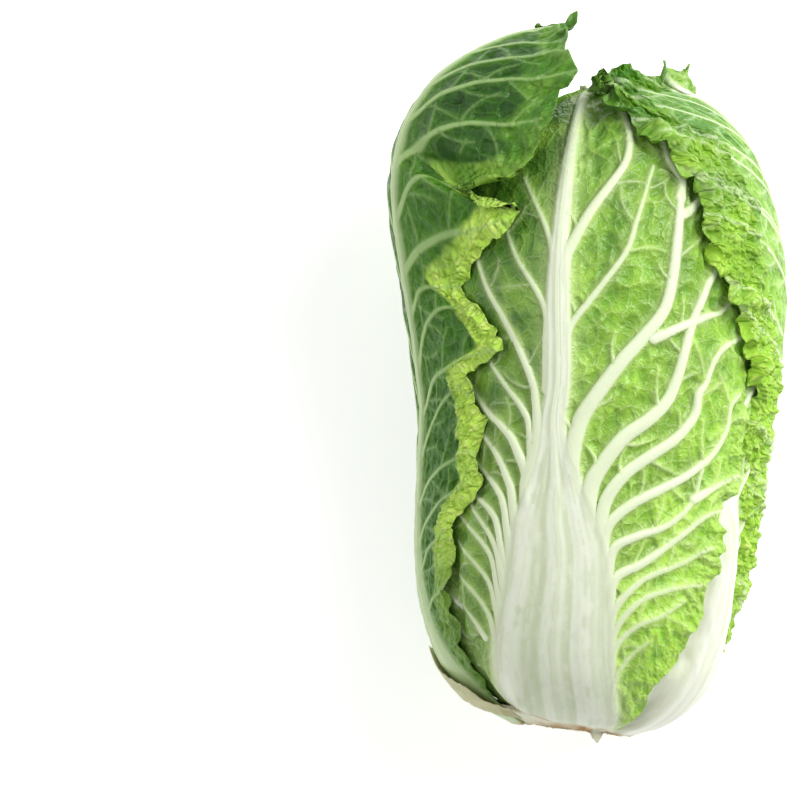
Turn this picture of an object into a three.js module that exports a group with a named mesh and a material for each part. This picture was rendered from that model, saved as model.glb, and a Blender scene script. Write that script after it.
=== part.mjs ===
// A whole head of napa cabbage, lying on its side with its cut stem towards -Y and its crown towards +Y.
// Units are millimetres and +Z is up. Every leaf is its own closed shell, packed against the leaves outside it.
//
// The head is described in its own coordinates, which all leaves share:
//   station  0 at the cut base to 16 at the crown, along the outline of the head
//   angle    degrees round the head's axis, 0 on top (+Z) and 90 at the right (+X)
//   depth    0 on the outside of the head, 1 on the stem core or the axis; below 0 stands off the head

import * as THREE from 'three';
import { mergeVertices } from 'three/addons/utils/BufferGeometryUtils.js';

// ---------------------------------------------------------------- driving dimensions

// Outline of the head: [place along the axis, radius] at each station.
const HEAD_OUTLINE = [
  [-147, 31], [-142, 42.5], [-134, 53], [-122, 62.5], [-106, 69.5], [-86, 75], [-62, 78.5], [-35, 80.5],
  [-6, 82.5], [24, 84], [52, 83.5], [77, 79.5], [99, 71], [118, 59], [132, 44], [142, 27], [147, 9],
];

// What the leaves wrap: the tapering stem core, then the axis above it.
const CORE_OUTLINE = [
  [-147.5, 21], [-142, 20], [-135.5, 18.5], [-127.5, 16], [-120, 12.5], [-113.5, 8], [-108, 3.5], [-90, 1.5],
  [-68, 1.5], [-44, 1.5], [-20, 1.5], [3, 1.5], [25, 1.5], [45, 1.5], [62, 1.5], [75, 1.5], [84, 1.5],
];

const LAST_STATION = HEAD_OUTLINE.length - 1;
const HEIGHT_RATIO = 0.93;      // the head's height over its width, as it lies
const SIDE_LEAN = 0.072;        // sideways travel of the axis per millimetre along the head
const LYING_TILT = 0.08;        // rise of the axis per millimetre, because the base is the slimmer end
const FLAT_DEPTH = 68.5;        // how far below the axis the underside is pressed flat
const CUT_FACE_Y = -150.5;      // the cut butt stands a little proud of the leaf bases
const CORE_GAP = 0.5;           // clearance between the stem core and the leaves round it
const BUTT_TILT = 0.12;         // the butt is cut askew: how far it reaches lower per millimetre towards +X
const TILTED_Y = [70, 147];     // the skew grows from none to full between these distances from the middle

const BLADE_THICKNESS = 1.5;    // the green blade between its veins, with its crinkles
const LEAF_GAP = 0.65;          // clearance between one leaf and the next
const CLOSEST_TO_CORE = 0.97;   // the deepest that a leaf's inner face may reach

// Thickness of the midrib over the blade at each station, on the largest leaves.
const MIDRIB_THICKNESS = [2.9, 4.2, 5.6, 6.8, 7.4, 7.2, 6.6, 5.8, 5, 4.2, 3.5, 2.9, 2.3, 1.8, 1.3, 0.9, 0.5];
// Half the midrib's width at each station, in degrees.
const MIDRIB_HALF_WIDTH = [30, 30, 29, 28, 26, 24, 21, 18, 16, 14, 13, 12, 12, 12, 12, 12, 12];

const FINE_TURN = 12;           // degrees between the columns of an outer leaf

const INNER_LEAF_COUNT = 42;
const GOLDEN_ANGLE = 137.5;     // turn from each leaf to the next one up the core
const FIRST_INNER_ANGLE = 20;
const INNERMOST_BLADE = 1.1;    // thickness of the blade on the innermost leaves
const OUTERMOST_INNER_MIDRIB = 0.8;  // midribs of the inner leaves, against those of the outer ones
const INNERMOST_MIDRIB = 0.35;
const OUTERMOST_INNER_COLOUR = 0xcfe39a;
const INNERMOST_COLOUR = 0xf6f0b4;
// Half the width of an inner leaf: [station, degrees to each side].
const INNER_SPREAD = [[0, 33], [4, 46], [8, 92], [13, 92], [15, 74], [16, 42]];

const HEART_BASE_STATION = 8;

const STEM_TOP_STATION = 6;     // where the stem core ends in a blunt tip
const STEM_EDGE = 1.5;          // bevel round the cut face, and height of the blunt tip
const WELD_DISTANCE = 0.001;    // corners closer together than this are the same corner

// The ring of old leaf bases that were cut off with the butt, round the stem core.
const COLLAR = { inner: 21.3, outer: 30.5, low: -150.2, high: -148.2 };
const COLLAR_BEVEL = 0.7;

const STUB_ROWS = 5;            // corners of a broken stub's mesh, from its base to its torn end
const STUB_COLUMNS = 6;         // and across it
const STUB_NARROWING = { left: 12, right: 6 };    // degrees that each side draws in towards the torn end
const STUB_TEAR = { height: 0.45, radians: 9 };   // wave of the torn end, in stations high, and its run across
const STUB_CLEARANCE = 0.8;     // gap between a stub and the leaves that it lies on

const TEXTURE = { roughness: 0.5, metalness: 0 };

// ---------------------------------------------------------------- outer leaves

// Each margin and midrib is a list of [station, degrees]. A leaf that stands off the head says how far, as a
// depth, along its margins and its midrib.
// The leaves are listed from the outside in, the order in which they are packed.
const OUTER_LEAVES = [
  {
    name: 'left_leaf_standing_off', colour: 0x4f8a2b, tip: 15,
    left: [[0, -124], [3, -128], [5, -134], [8, -136], [9, -132], [11, -126], [13, -124], [14, -120], [15, -98]],
    right: [[0, -56], [3, -53], [5, -57], [6, -56], [7, -48], [10, -42], [11, -32], [12, -24], [14, -26], [15, -58]],
    midrib: [[0, -92], [5, -88], [8, -76], [10, -71], [13, -68], [14, -66], [15, -60]],
    standOff: {
      left: [[0, 0], [9, 0], [11, 0.07], [13, 0.2], [14, 0.3], [15, 0.42]],
      midrib: [[0, 0], [8, 0], [9, 0.07], [10, 0.2], [11, 0.35], [12, 0.44], [13, 0.47], [14, 0.47], [15, 0.44]],
      right: [[0, 0], [9, 0], [10, 0.03], [11, 0.1], [12, 0.18], [13, 0.28], [14, 0.38], [15, 0.43]],
    },
  },
  {
    name: 'back_right_leaf', colour: 0x8fc347, tip: 15,
    left: [
      [0, 95], [3, 88], [4, 81], [5, 74], [6, 68], [7, 63], [8, 62], [9, 50],
      [10, 34], [12, 27], [13, 13], [14, -12], [15, -52],
    ],
    right: [[0, 156], [3, 150], [8, 147], [12, 145], [14, 138], [15, 110]],
    midrib: [[0, 128], [4, 122], [8, 114], [12, 100], [14, 80], [15, 45]],
    standOff: {
      left: [[0, 0], [11, 0], [13, 0.03], [15, 0.06]],
      midrib: [[0, 0], [11, 0], [13, 0.02], [15, 0.05]],
      right: [[0, 0], [15, 0]],
    },
  },
  {
    name: 'underside_leaf', colour: 0xa8d080, tip: 15, smoothMargins: false,
    left: [[0, 163], [3, 157], [4, 150], [5, 138], [8, 132], [12, 132], [14, 138], [15, 156]],
    right: [[0, 232], [3, 234], [4, 236], [6, 242], [8, 248], [12, 252], [14, 244], [15, 206]],
    midrib: [[0, 190], [8, 184], [15, 180]],
  },
  {
    name: 'front_leaf', colour: 0xa9d86b, tip: 15,
    left: [
      [0, -26], [1, -32], [2, -39], [3, -45], [4, -51], [5, -54],
      [6, -58], [7, -66], [9, -72], [12, -72], [14, -64], [15, -60],
    ],
    right: [
      [0, 33], [3, 34], [4, 44], [5, 45.5], [6, 48.5], [7, 54],
      [8, 56], [10, 62], [12, 56], [13, 50], [14, 34], [15, -16],
    ],
    midrib: [[0, -9], [3, -10], [5, -12], [7, -14], [11, -17], [13, -21], [14, -27], [15, -40]],
  },
  {
    name: 'left_under_leaf', colour: 0x7fb04c, tip: 15,
    left: [[0, -64], [4, -84], [6, -98], [9, -104], [12, -100], [14, -92], [15, -84]],
    right: [[0, -22], [4, -16], [6, -6], [9, 4], [12, 0], [14, -12], [15, -30]],
    midrib: [[0, -42], [8, -50], [15, -58]],
  },
  {
    name: 'right_leaf', colour: 0xdfeac8, tip: 15,
    left: [[0, 24], [3, 22], [5, 18], [8, 8], [12, 4], [14, 10], [15, 24]],
    right: [[0, 103], [3, 103], [4, 103], [6, 106], [8, 110], [12, 112], [14, 104], [15, 80]],
    midrib: [[0, 57], [4, 56], [8, 52], [12, 50], [15, 50]],
  },
  {
    name: 'back_leaf', colour: 0xb7d78c, tip: 15,
    left: [[0, 128], [3, 120], [5, 108], [8, 96], [12, 92], [14, 102], [15, 126]],
    right: [[0, 186], [3, 196], [5, 208], [8, 222], [12, 226], [14, 214], [15, 190]],
    midrib: [[0, 158], [15, 158]],
  },
];

// Stubs of old leaves that broke off at the base when the head was trimmed.
const BROKEN_STUBS = [
  { name: 'broken_leaf_stub_left', colour: 0xb9b684, left: -108, right: -44, tip: 3.0, thickness: 2.2, lift: 0.05 },
  { name: 'broken_leaf_stub_back', colour: 0xcfc79c, left: 118, right: 150, tip: 2.2, thickness: 2.0, lift: 0.05 },
];

// ---------------------------------------------------------------- the head's own coordinates

const { lerp, clamp, degToRad, smoothstep } = THREE.MathUtils;

// Reads a list of [key, value] pairs at a key between two of them.
function readProfile(pairs, key) {
  const next = pairs.findIndex(([k]) => k >= key);
  if (next <= 0) return pairs[next < 0 ? pairs.length - 1 : 0][1];
  const [k0, v0] = pairs[next - 1];
  const [k1, v1] = pairs[next];
  return lerp(v0, v1, (key - k0) / (k1 - k0));
}

// Reads a row of values, one for each station, at a station between them.
function atStation(values, station) {
  const low = Math.min(Math.floor(station), LAST_STATION - 1);
  return lerp(values[low], values[low + 1], station - low);
}

const HEAD_Y = HEAD_OUTLINE.map(([y]) => y);
const HEAD_RADIUS = HEAD_OUTLINE.map(([, radius]) => radius);
const CORE_Y = CORE_OUTLINE.map(([y]) => y);
const CORE_RADIUS = CORE_OUTLINE.map(([, radius]) => radius);

// Moves a point of an upright, round head to where it is in the head that lies, leans and has a skewed butt.
// Across and up are millimetres from the axis.
function layDown(across, y, up) {
  const skew = BUTT_TILT * smoothstep(-y, ...TILTED_Y);
  return new THREE.Vector3(across + SIDE_LEAN * y, y - skew * across, HEIGHT_RATIO * up + LYING_TILT * y);
}

// The outside of the head, pressed flat underneath where it rests.
function outsidePoint(station, degrees) {
  const radius = atStation(HEAD_RADIUS, station);
  const turn = degToRad(degrees);
  const point = layDown(radius * Math.sin(turn), atStation(HEAD_Y, station), radius * Math.cos(turn));
  point.z = Math.max(point.z, -FLAT_DEPTH);
  return point;
}

function corePoint(station, degrees) {
  const radius = atStation(CORE_RADIUS, station);
  const turn = degToRad(degrees);
  return layDown(radius * Math.sin(turn), atStation(CORE_Y, station), radius * Math.cos(turn));
}

function headPoint(station, degrees, depth) {
  return outsidePoint(station, degrees).lerp(corePoint(station, degrees), depth);
}

// The share of the way from outside to core that one millimetre through the leaves takes up.
function depthPerMillimetre(station) {
  const along = new THREE.Vector2(
    atStation(HEAD_RADIUS, station) - atStation(CORE_RADIUS, station),
    atStation(HEAD_Y, station) - atStation(CORE_Y, station),
  );
  const low = clamp(station - 0.5, 0, LAST_STATION - 1);   // the slope is read over one station round here
  const outline = new THREE.Vector2(
    atStation(HEAD_RADIUS, low + 1) - atStation(HEAD_RADIUS, low),
    atStation(HEAD_Y, low + 1) - atStation(HEAD_Y, low),
  ).normalize();
  const throughLeaves = Math.abs(along.x * outline.y - along.y * outline.x);
  return 1 / throughLeaves;
}

// ---------------------------------------------------------------- packing one leaf against the next

// A grid of columns round the head and stations along it, which remembers how deep the space is already filled.
class PackingGrid {
  constructor(turn, step) {
    this.turn = turn;
    this.step = step;
    this.columns = 360 / turn;
    this.filled = Array.from({ length: LAST_STATION / step + 1 }, () => new Array(this.columns).fill(0));
  }

  row(station) {
    return this.filled[clamp(station, 0, LAST_STATION) / this.step];
  }

  depth(station, column) {
    return this.row(station)[((column % this.columns) + this.columns) % this.columns];
  }

  fill(station, column, depth) {
    const place = ((column % this.columns) + this.columns) % this.columns;
    this.row(station)[place] = Math.max(this.row(station)[place], Math.min(depth, 1));
  }

  // A grid of twice the mesh size, nowhere less filled than this one.
  coarser() {
    const grid = new PackingGrid(2 * this.turn, 2 * this.step);
    for (let station = 0; station <= LAST_STATION; station += grid.step) {
      for (let column = 0; column < grid.columns; column += 1) {
        for (const s of [station - this.step, station, station + this.step]) {
          for (const c of [2 * column - 1, 2 * column, 2 * column + 1]) {
            grid.fill(station, column, this.depth(s, c));
          }
        }
      }
    }
    return grid;
  }
}

// Thickness of a leaf: the blade, plus a midrib that swells smoothly over it.
function leafThickness(leaf, station, degrees) {
  const away = Math.abs(degrees - readProfile(leaf.midrib, station));
  const halfWidth = Math.max(atStation(MIDRIB_HALF_WIDTH, station), leaf.grid.turn);
  const swell = 0.5 + 0.5 * Math.cos(Math.PI * clamp(away / halfWidth, 0, 1));
  return leaf.bladeThickness + leaf.midribScale * atStation(MIDRIB_THICKNESS, station) * swell;
}

// How far a leaf stands off the head, easing from its midrib to each margin.
function standOff(leaf, station, degrees) {
  if (!leaf.standOff) return 0;
  const midrib = readProfile(leaf.midrib, station);
  const side = degrees < midrib ? 'left' : 'right';
  const margin = readProfile(leaf[side], station);
  const share = smoothstep(Math.abs(degrees - midrib), 0, Math.abs(margin - midrib));
  return lerp(readProfile(leaf.standOff.midrib, station), readProfile(leaf.standOff[side], station), share);
}

// Outer and inner depth of a leaf at one point of the grid, fixed when it is first asked for.
function depthsAtNode(leaf, station, column) {
  const key = `${station}:${column}`;
  if (!leaf.nodes.has(key)) {
    const degrees = column * leaf.grid.turn;
    const outer = leaf.grid.depth(station, column) - standOff(leaf, station, degrees);
    const thickness = leafThickness(leaf, station, degrees) * depthPerMillimetre(station);
    leaf.nodes.set(key, [outer, outer + thickness]);
  }
  return leaf.nodes.get(key);
}

// The first and last grid column of a leaf at one station: its margins, drawn to the nearest columns.
function columnRange(leaf, station) {
  const { turn } = leaf.grid;
  return [leaf.left, leaf.right].map((margin) => Math.round(readProfile(margin, station) / turn));
}

function columnsOf(leaf, station) {
  const [first, last] = columnRange(leaf, station);
  return Array.from({ length: last - first + 1 }, (_, n) => first + n);
}

// The first station at which there is still room for the whole width of the leaf outside the core.
function firstOpenStation(leaf) {
  for (let station = 0; station < leaf.tip; station += leaf.grid.step) {
    const deepest = columnsOf(leaf, station).map((column) => depthsAtNode(leaf, station, column)[1]);
    if (Math.max(...deepest) < CLOSEST_TO_CORE) return station;
  }
  throw new Error(`no room for ${leaf.name}`);
}

// The triangles between one row of a leaf and the next, as grid nodes: whole cells, cut across their common
// diagonal, and a corner wherever a margin moves sideways. Only the outer leaves have corners on the other
// diagonal. Such a corner leaves a spare node, listed with its two neighbours and the node opposite, because
// the leaf under it still has that node.
function leafStrip(leaf, station) {
  const above = station + leaf.grid.step;
  const [lowFirst, lowLast] = columnRange(leaf, station);
  const [highFirst, highLast] = columnRange(leaf, above);
  const first = Math.max(lowFirst, highFirst);
  const last = Math.min(lowLast, highLast);
  const low = (column) => [station, column];
  const high = (column) => [above, column];
  const triangles = [];
  const spares = [];
  for (let column = first; column < last; column += 1) {
    triangles.push([low(column), low(column + 1), high(column + 1)]);
    triangles.push([low(column), high(column + 1), high(column)]);
  }
  if (lowFirst < first) triangles.push([low(first - 1), low(first), high(first)]);
  if (highLast > last) triangles.push([low(last), high(last + 1), high(last)]);
  if (highFirst < first && leaf.smoothMargins) {
    triangles.push([high(first - 1), low(first), high(first)]);
    spares.push([low(first - 1), low(first), high(first - 1), high(first)]);
  }
  if (lowLast > last && leaf.smoothMargins) {
    triangles.push([low(last), low(last + 1), high(last)]);
    spares.push([high(last + 1), low(last + 1), high(last), low(last)]);
  }
  return { triangles, spares };
}

function leafStrips(leaf) {
  const strips = [];
  for (let station = leaf.base; station < leaf.tip; station += leaf.grid.step) {
    strips.push(leafStrip(leaf, station));
  }
  return strips;
}

// Marks the space that a leaf takes, with the gap to whatever lies under it.
function fillUnder(leaf) {
  const inner = (node) => depthsAtNode(leaf, ...node)[1];
  const places = [];
  for (const { triangles, spares } of leafStrips(leaf)) {
    triangles.flat().forEach((node) => places.push([node, inner(node)]));
    for (const [spare, beside, above, opposite] of spares) {
      places.push([spare, inner(beside) + inner(above) - inner(opposite)]);
    }
  }
  for (const [[station, column], depth] of places) {
    leaf.grid.fill(station, column, depth + LEAF_GAP * depthPerMillimetre(station));
  }
}

// ---------------------------------------------------------------- closed meshes

// Turns a sheet of triangles and its shifted copy into one closed shell, hemmed along the open edges.
function closeShell(outerPoints, innerPoints, triangles) {
  const count = outerPoints.length;
  const faces = [];
  const edges = new Set(triangles.flatMap(([a, b, c]) => [`${a},${b}`, `${b},${c}`, `${c},${a}`]));
  for (const [a, b, c] of triangles) {
    faces.push([a, b, c], [a + count, c + count, b + count]);
    for (const [from, to] of [[a, b], [b, c], [c, a]]) {
      if (edges.has(`${to},${from}`)) continue;
      faces.push([to, from, from + count], [to, from + count, to + count]);
    }
  }
  const points = [...outerPoints, ...innerPoints].flatMap((point) => point.toArray());
  const geometry = new THREE.BufferGeometry();
  geometry.setAttribute('position', new THREE.Float32BufferAttribute(points, 3));
  geometry.setIndex(faces.flat());
  return geometry;
}

// A flat-shaded mesh with its part's name and colour.
function namedMesh(name, geometry, colour) {
  const material = new THREE.MeshStandardMaterial({ color: colour, ...TEXTURE, flatShading: true });
  const mesh = new THREE.Mesh(geometry, material);
  mesh.name = name;
  return mesh;
}

function buildLeaf(leaf) {
  const nodes = [];
  const places = new Map();
  const placeOf = (node) => {
    const key = node.join(':');
    if (!places.has(key)) places.set(key, nodes.push(node) - 1);
    return places.get(key);
  };
  const triangles = leafStrips(leaf).flatMap((strip) => strip.triangles).map((corners) => corners.map(placeOf));
  const face = (side) => nodes.map(([station, column]) => (
    headPoint(station, column * leaf.grid.turn, depthsAtNode(leaf, station, column)[side])
  ));
  return namedMesh(leaf.name, closeShell(face(0), face(1), triangles), leaf.colour);
}

function packLeaf(spec) {
  const leaf = { nodes: new Map(), ...spec };
  leaf.base = firstOpenStation(leaf);
  fillUnder(leaf);
  return buildLeaf(leaf);
}

// ---------------------------------------------------------------- the pieces

function outerLeaf(spec, grid) {
  return packLeaf({ smoothMargins: true, ...spec, grid, bladeThickness: BLADE_THICKNESS, midribScale: 1 });
}

// Inner leaves climb the core by the golden angle, and turn paler, slimmer and thinner inwards.
function innerLeaf(number, grid) {
  const inward = number / (INNER_LEAF_COUNT - 1);
  const middle = FIRST_INNER_ANGLE + number * GOLDEN_ANGLE;
  const margin = (side) => INNER_SPREAD.map(([station, degrees]) => [station, middle + side * degrees]);
  const colour = new THREE.Color(OUTERMOST_INNER_COLOUR).lerp(new THREE.Color(INNERMOST_COLOUR), inward);
  return packLeaf({
    name: `inner_leaf_${String(number + 1).padStart(2, '0')}`,
    colour: colour.getHex(),
    grid,
    smoothMargins: false,
    tip: LAST_STATION,
    left: margin(-1),
    right: margin(1),
    midrib: [[0, middle], [LAST_STATION, middle]],
    bladeThickness: lerp(BLADE_THICKNESS, INNERMOST_BLADE, inward),
    midribScale: lerp(OUTERMOST_INNER_MIDRIB, INNERMOST_MIDRIB, inward),
  });
}

// A piece turned round the head's axis, from a profile of (radius, y) points that ends on the axis or closes.
function turnedPiece(name, profile, colour) {
  const points = profile.map(([radius, y]) => new THREE.Vector2(radius, y));
  const turned = new THREE.LatheGeometry(points, 360 / FINE_TURN);
  turned.deleteAttribute('normal');
  turned.deleteAttribute('uv');
  const geometry = mergeVertices(turned, WELD_DISTANCE);
  const position = geometry.attributes.position;
  for (let i = 0; i < position.count; i += 1) {
    position.setXYZ(i, ...layDown(position.getX(i), position.getY(i), position.getZ(i)));
  }
  return namedMesh(name, geometry, colour);
}

// The cut stem: a tapering core with a flat sawn butt.
function stemCore() {
  const side = CORE_OUTLINE.slice(0, STEM_TOP_STATION + 1).map(([y, radius]) => [radius - CORE_GAP, y]);
  const [widest] = side[0];
  const top = side.at(-1)[1] + STEM_EDGE;
  const profile = [[0, CUT_FACE_Y], [widest - STEM_EDGE, CUT_FACE_Y], ...side, [0, top]];
  return turnedPiece('stem_core', profile, 0xf3efdc);
}

// The collar: the stumps of the oldest leaves, sawn off level with the butt.
function cutLeafBases() {
  const { inner, outer, low, high } = COLLAR;
  const profile = [
    [inner, low], [outer - COLLAR_BEVEL, low], [outer, low + COLLAR_BEVEL],
    [outer, high], [inner, high], [inner, low],
  ];
  return turnedPiece('cut_leaf_bases', profile, 0xb98f55);
}

// The crumpled bud that fills what the leaves leave round the axis.
function heartBud(grid) {
  const rings = [];
  for (let station = HEART_BASE_STATION; station <= LAST_STATION; station += grid.step) {
    const ring = [];
    for (let column = 0; column < grid.columns; column += 1) {
      const depth = Math.min(grid.depth(station, column), CLOSEST_TO_CORE);
      ring.push(headPoint(station, column * grid.turn, depth));
    }
    rings.push(ring);
  }
  const { columns } = grid;
  const points = rings.flat();
  const endPoint = (ring) => ring.reduce((sum, p) => sum.add(p), new THREE.Vector3()).divideScalar(columns);
  const bottom = points.push(endPoint(rings[0])) - 1;
  const top = points.push(endPoint(rings.at(-1))) - 1;
  const faces = [];
  const lastRing = (rings.length - 1) * columns;
  for (let column = 0; column < columns; column += 1) {
    const beside = (column + 1) % columns;
    faces.push(bottom, beside, column, top, lastRing + column, lastRing + beside);
    for (let ring = 0; ring < lastRing; ring += columns) {
      faces.push(ring + column, ring + beside, ring + columns + beside);
      faces.push(ring + column, ring + columns + beside, ring + columns + column);
    }
  }
  const geometry = new THREE.BufferGeometry();
  geometry.setAttribute('position', new THREE.Float32BufferAttribute(points.flatMap((p) => p.toArray()), 3));
  geometry.setIndex(faces);
  return namedMesh('heart_bud', geometry, 0xf4e58c);
}

// A short torn remnant of an old leaf, standing just outside the bases of the outer leaves.
function brokenStub(stub) {
  const outerPoints = [];
  const innerPoints = [];
  for (let row = 0; row < STUB_ROWS; row += 1) {
    const upward = row / (STUB_ROWS - 1);
    const left = stub.left + STUB_NARROWING.left * upward;
    const right = stub.right - STUB_NARROWING.right * upward;
    for (let column = 0; column < STUB_COLUMNS; column += 1) {
      const across = column / (STUB_COLUMNS - 1);
      const tear = STUB_TEAR.height * Math.sin(STUB_TEAR.radians * across) * upward;
      const station = clamp(stub.tip * upward + tear, 0, LAST_STATION);
      const perMillimetre = depthPerMillimetre(station);
      const inner = -STUB_CLEARANCE * perMillimetre - stub.lift * upward;
      const degrees = lerp(left, right, across);
      outerPoints.push(headPoint(station, degrees, inner - stub.thickness * perMillimetre));
      innerPoints.push(headPoint(station, degrees, inner));
    }
  }
  const triangles = [];
  for (let row = 0; row < STUB_ROWS - 1; row += 1) {
    for (let column = 0; column < STUB_COLUMNS - 1; column += 1) {
      const corner = row * STUB_COLUMNS + column;
      const above = corner + STUB_COLUMNS;
      triangles.push([corner, corner + 1, above + 1], [corner, above + 1, above]);
    }
  }
  return namedMesh(stub.name, closeShell(outerPoints, innerPoints, triangles), stub.colour);
}

// ---------------------------------------------------------------- assembly

const outerGrid = new PackingGrid(FINE_TURN, 1);
const outerLeaves = OUTER_LEAVES.map((spec) => outerLeaf(spec, outerGrid));
const innerGrid = outerGrid.coarser();
const innerLeaves = Array.from({ length: INNER_LEAF_COUNT }, (_, number) => innerLeaf(number, innerGrid));

const group = new THREE.Group();
group.add(stemCore(), cutLeafBases(), ...BROKEN_STUBS.map(brokenStub));
group.add(...outerLeaves, ...innerLeaves, heartBud(innerGrid));

// The origin is under the middle of the head, on the surface that it rests on.
const box = new THREE.Box3().setFromObject(group);
const middle = box.getCenter(new THREE.Vector3());
group.position.set(-middle.x, -middle.y, -box.min.z);

export default group;
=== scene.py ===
"""The looks of a whole head of napa cabbage that lies on its side on a pale table.

The head is described in its own coordinates, which all the leaves share: a station from 0 at the cut base
to 16 at the crown, degrees round the axis (0 on top, 90 at +X), and a depth from the outside of the head
inwards.
On a leaf, a place is also given in millimetres across from the midrib and along from the base of the head.
Lengths are millimetres in the head's frame unless a name says metres.
"""

from __future__ import annotations

import logging
import math
from collections.abc import Callable
from dataclasses import dataclass, field
from enum import Enum
from functools import partial
from typing import Any

import bpy
import numpy as np
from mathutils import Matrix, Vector


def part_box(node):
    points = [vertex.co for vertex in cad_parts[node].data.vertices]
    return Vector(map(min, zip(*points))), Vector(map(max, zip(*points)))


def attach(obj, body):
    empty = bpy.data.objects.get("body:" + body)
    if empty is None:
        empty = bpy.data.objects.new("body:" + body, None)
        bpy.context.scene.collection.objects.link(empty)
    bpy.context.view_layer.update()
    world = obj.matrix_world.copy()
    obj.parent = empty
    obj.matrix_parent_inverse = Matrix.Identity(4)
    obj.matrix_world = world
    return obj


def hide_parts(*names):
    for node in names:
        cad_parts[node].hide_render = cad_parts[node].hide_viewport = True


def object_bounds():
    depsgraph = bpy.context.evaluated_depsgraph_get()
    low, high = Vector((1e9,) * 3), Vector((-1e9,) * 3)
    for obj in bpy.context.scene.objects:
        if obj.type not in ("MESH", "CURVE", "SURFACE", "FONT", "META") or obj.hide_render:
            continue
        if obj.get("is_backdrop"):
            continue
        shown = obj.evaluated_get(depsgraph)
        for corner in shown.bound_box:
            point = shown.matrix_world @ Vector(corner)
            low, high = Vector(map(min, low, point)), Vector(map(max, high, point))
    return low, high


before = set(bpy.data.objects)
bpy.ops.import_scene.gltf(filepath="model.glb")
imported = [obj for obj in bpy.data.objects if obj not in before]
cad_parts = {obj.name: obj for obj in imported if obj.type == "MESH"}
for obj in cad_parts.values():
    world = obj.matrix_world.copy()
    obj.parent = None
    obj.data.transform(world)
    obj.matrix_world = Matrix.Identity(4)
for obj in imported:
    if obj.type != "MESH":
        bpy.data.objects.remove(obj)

LOG = logging.getLogger("napa_cabbage")

Array = np.ndarray
Pairs = tuple[tuple[float, float], ...]

METRES = 0.001

# ------------------------------------------------------------------ small tools


def smoothstep(low: float, high: float, value: Array) -> Array:
    """Eases from 0 at low to 1 at high."""
    t = np.clip((value - low) / (high - low), 0.0, 1.0)
    return t * t * (3.0 - 2.0 * t)


def read_profile(pairs: Pairs, at: Array) -> Array:
    """Reads a list of (key, value) pairs as a smooth curve that never overshoots.

    Args:
        pairs: keys in rising order, each with its value.
        at: the keys to read at; beyond the ends the curve stays level.

    Returns:
        The values, in the shape of at.
    """
    x, y = np.array(pairs, float).T
    secants = np.diff(y) / np.diff(x)
    before, after = secants[:-1], secants[1:]
    total = np.where(np.abs(before + after) < 1e-9, 1.0, before + after)
    inner = np.where(before * after > 0, 2.0 * before * after / total, 0.0)
    slopes = np.concatenate([secants[:1], inner, secants[-1:]])
    at = np.clip(np.asarray(at, float), x[0], x[-1])
    i = np.clip(np.searchsorted(x, at, side="right") - 1, 0, len(x) - 2)
    width = x[i + 1] - x[i]
    t = (at - x[i]) / width
    near = (1.0 + 2.0 * t) * (1.0 - t) ** 2 * y[i] + t * (1.0 - t) ** 2 * width * slopes[i]
    far = t * t * (3.0 - 2.0 * t) * y[i + 1] + t * t * (t - 1.0) * width * slopes[i + 1]
    return near + far


def spline(rows: Array, at: Array) -> Array:
    """Reads rows at fractional row numbers on a Catmull-Rom curve, which runs on straight past the ends.

    Args:
        rows: one row of values for each whole number.
        at: the row numbers to read at.

    Returns:
        A row of values for each number.
    """
    at = np.asarray(at, float)
    i = np.clip(np.floor(at).astype(int), 0, len(rows) - 2)
    t = (at - i)[..., None]
    padded = np.vstack([2 * rows[:1] - rows[1:2], rows, 2 * rows[-1:] - rows[-2:-1]])
    p0, p1, p2, p3 = (padded[i + k] for k in range(4))
    inside = p1 + 0.5 * t * (p2 - p0 + t * (2 * p0 - 5 * p1 + 4 * p2 - p3 + t * (3 * (p1 - p2) + p3 - p0)))
    beyond = p2 + (t - 1.0) * (p2 - p1)
    return np.where(t > 1.0, beyond, inside)


def unit(vectors: Array) -> Array:
    """Vectors of length one in the same directions."""
    return vectors / np.maximum(np.linalg.norm(vectors, axis=-1, keepdims=True), 1e-9)


class Wobble:
    """Smooth random values over a plane, from -1 to 1, the same on every run."""

    SIDE = 256
    SHIFT = (17.3, 5.1)  # how far each finer layer is moved, so that no two line up

    def __init__(self, seed: int) -> None:
        """Fills the table of random values from a seed."""
        self.table = np.random.default_rng(seed).uniform(-1.0, 1.0, (self.SIDE, self.SIDE))

    def at(self, x: Array, y: Array | float = 0.0) -> Array:
        """Reads one layer of the wobble, with features one unit across.

        Args:
            x, y: places on the plane.

        Returns:
            The values there.
        """
        x, y = np.broadcast_arrays(np.asarray(x, float), np.asarray(y, float))
        i, j = np.floor(x).astype(int), np.floor(y).astype(int)
        s, t = smoothstep(0.0, 1.0, x - i), smoothstep(0.0, 1.0, y - j)
        pick = lambda a, b: self.table[a % self.SIDE, b % self.SIDE]
        low = pick(i, j) * (1 - s) + pick(i + 1, j) * s
        high = pick(i, j + 1) * (1 - s) + pick(i + 1, j + 1) * s
        return low * (1 - t) + high * t

    def layered(self, x: Array, y: Array | float = 0.0, layers: int = 3) -> Array:
        """Adds up layers of the wobble, each half the size and half the strength of the one before.

        Args:
            x, y: places on the plane.
            layers: how many.

        Returns:
            The values there.
        """
        x, y = np.asarray(x), np.asarray(y)
        right, up = self.SHIFT
        total = sum(self.at(x * 2**n + right * n, y * 2**n + up * n) / 2**n for n in range(layers))
        return total / (2.0 - 0.5 ** (layers - 1))


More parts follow.
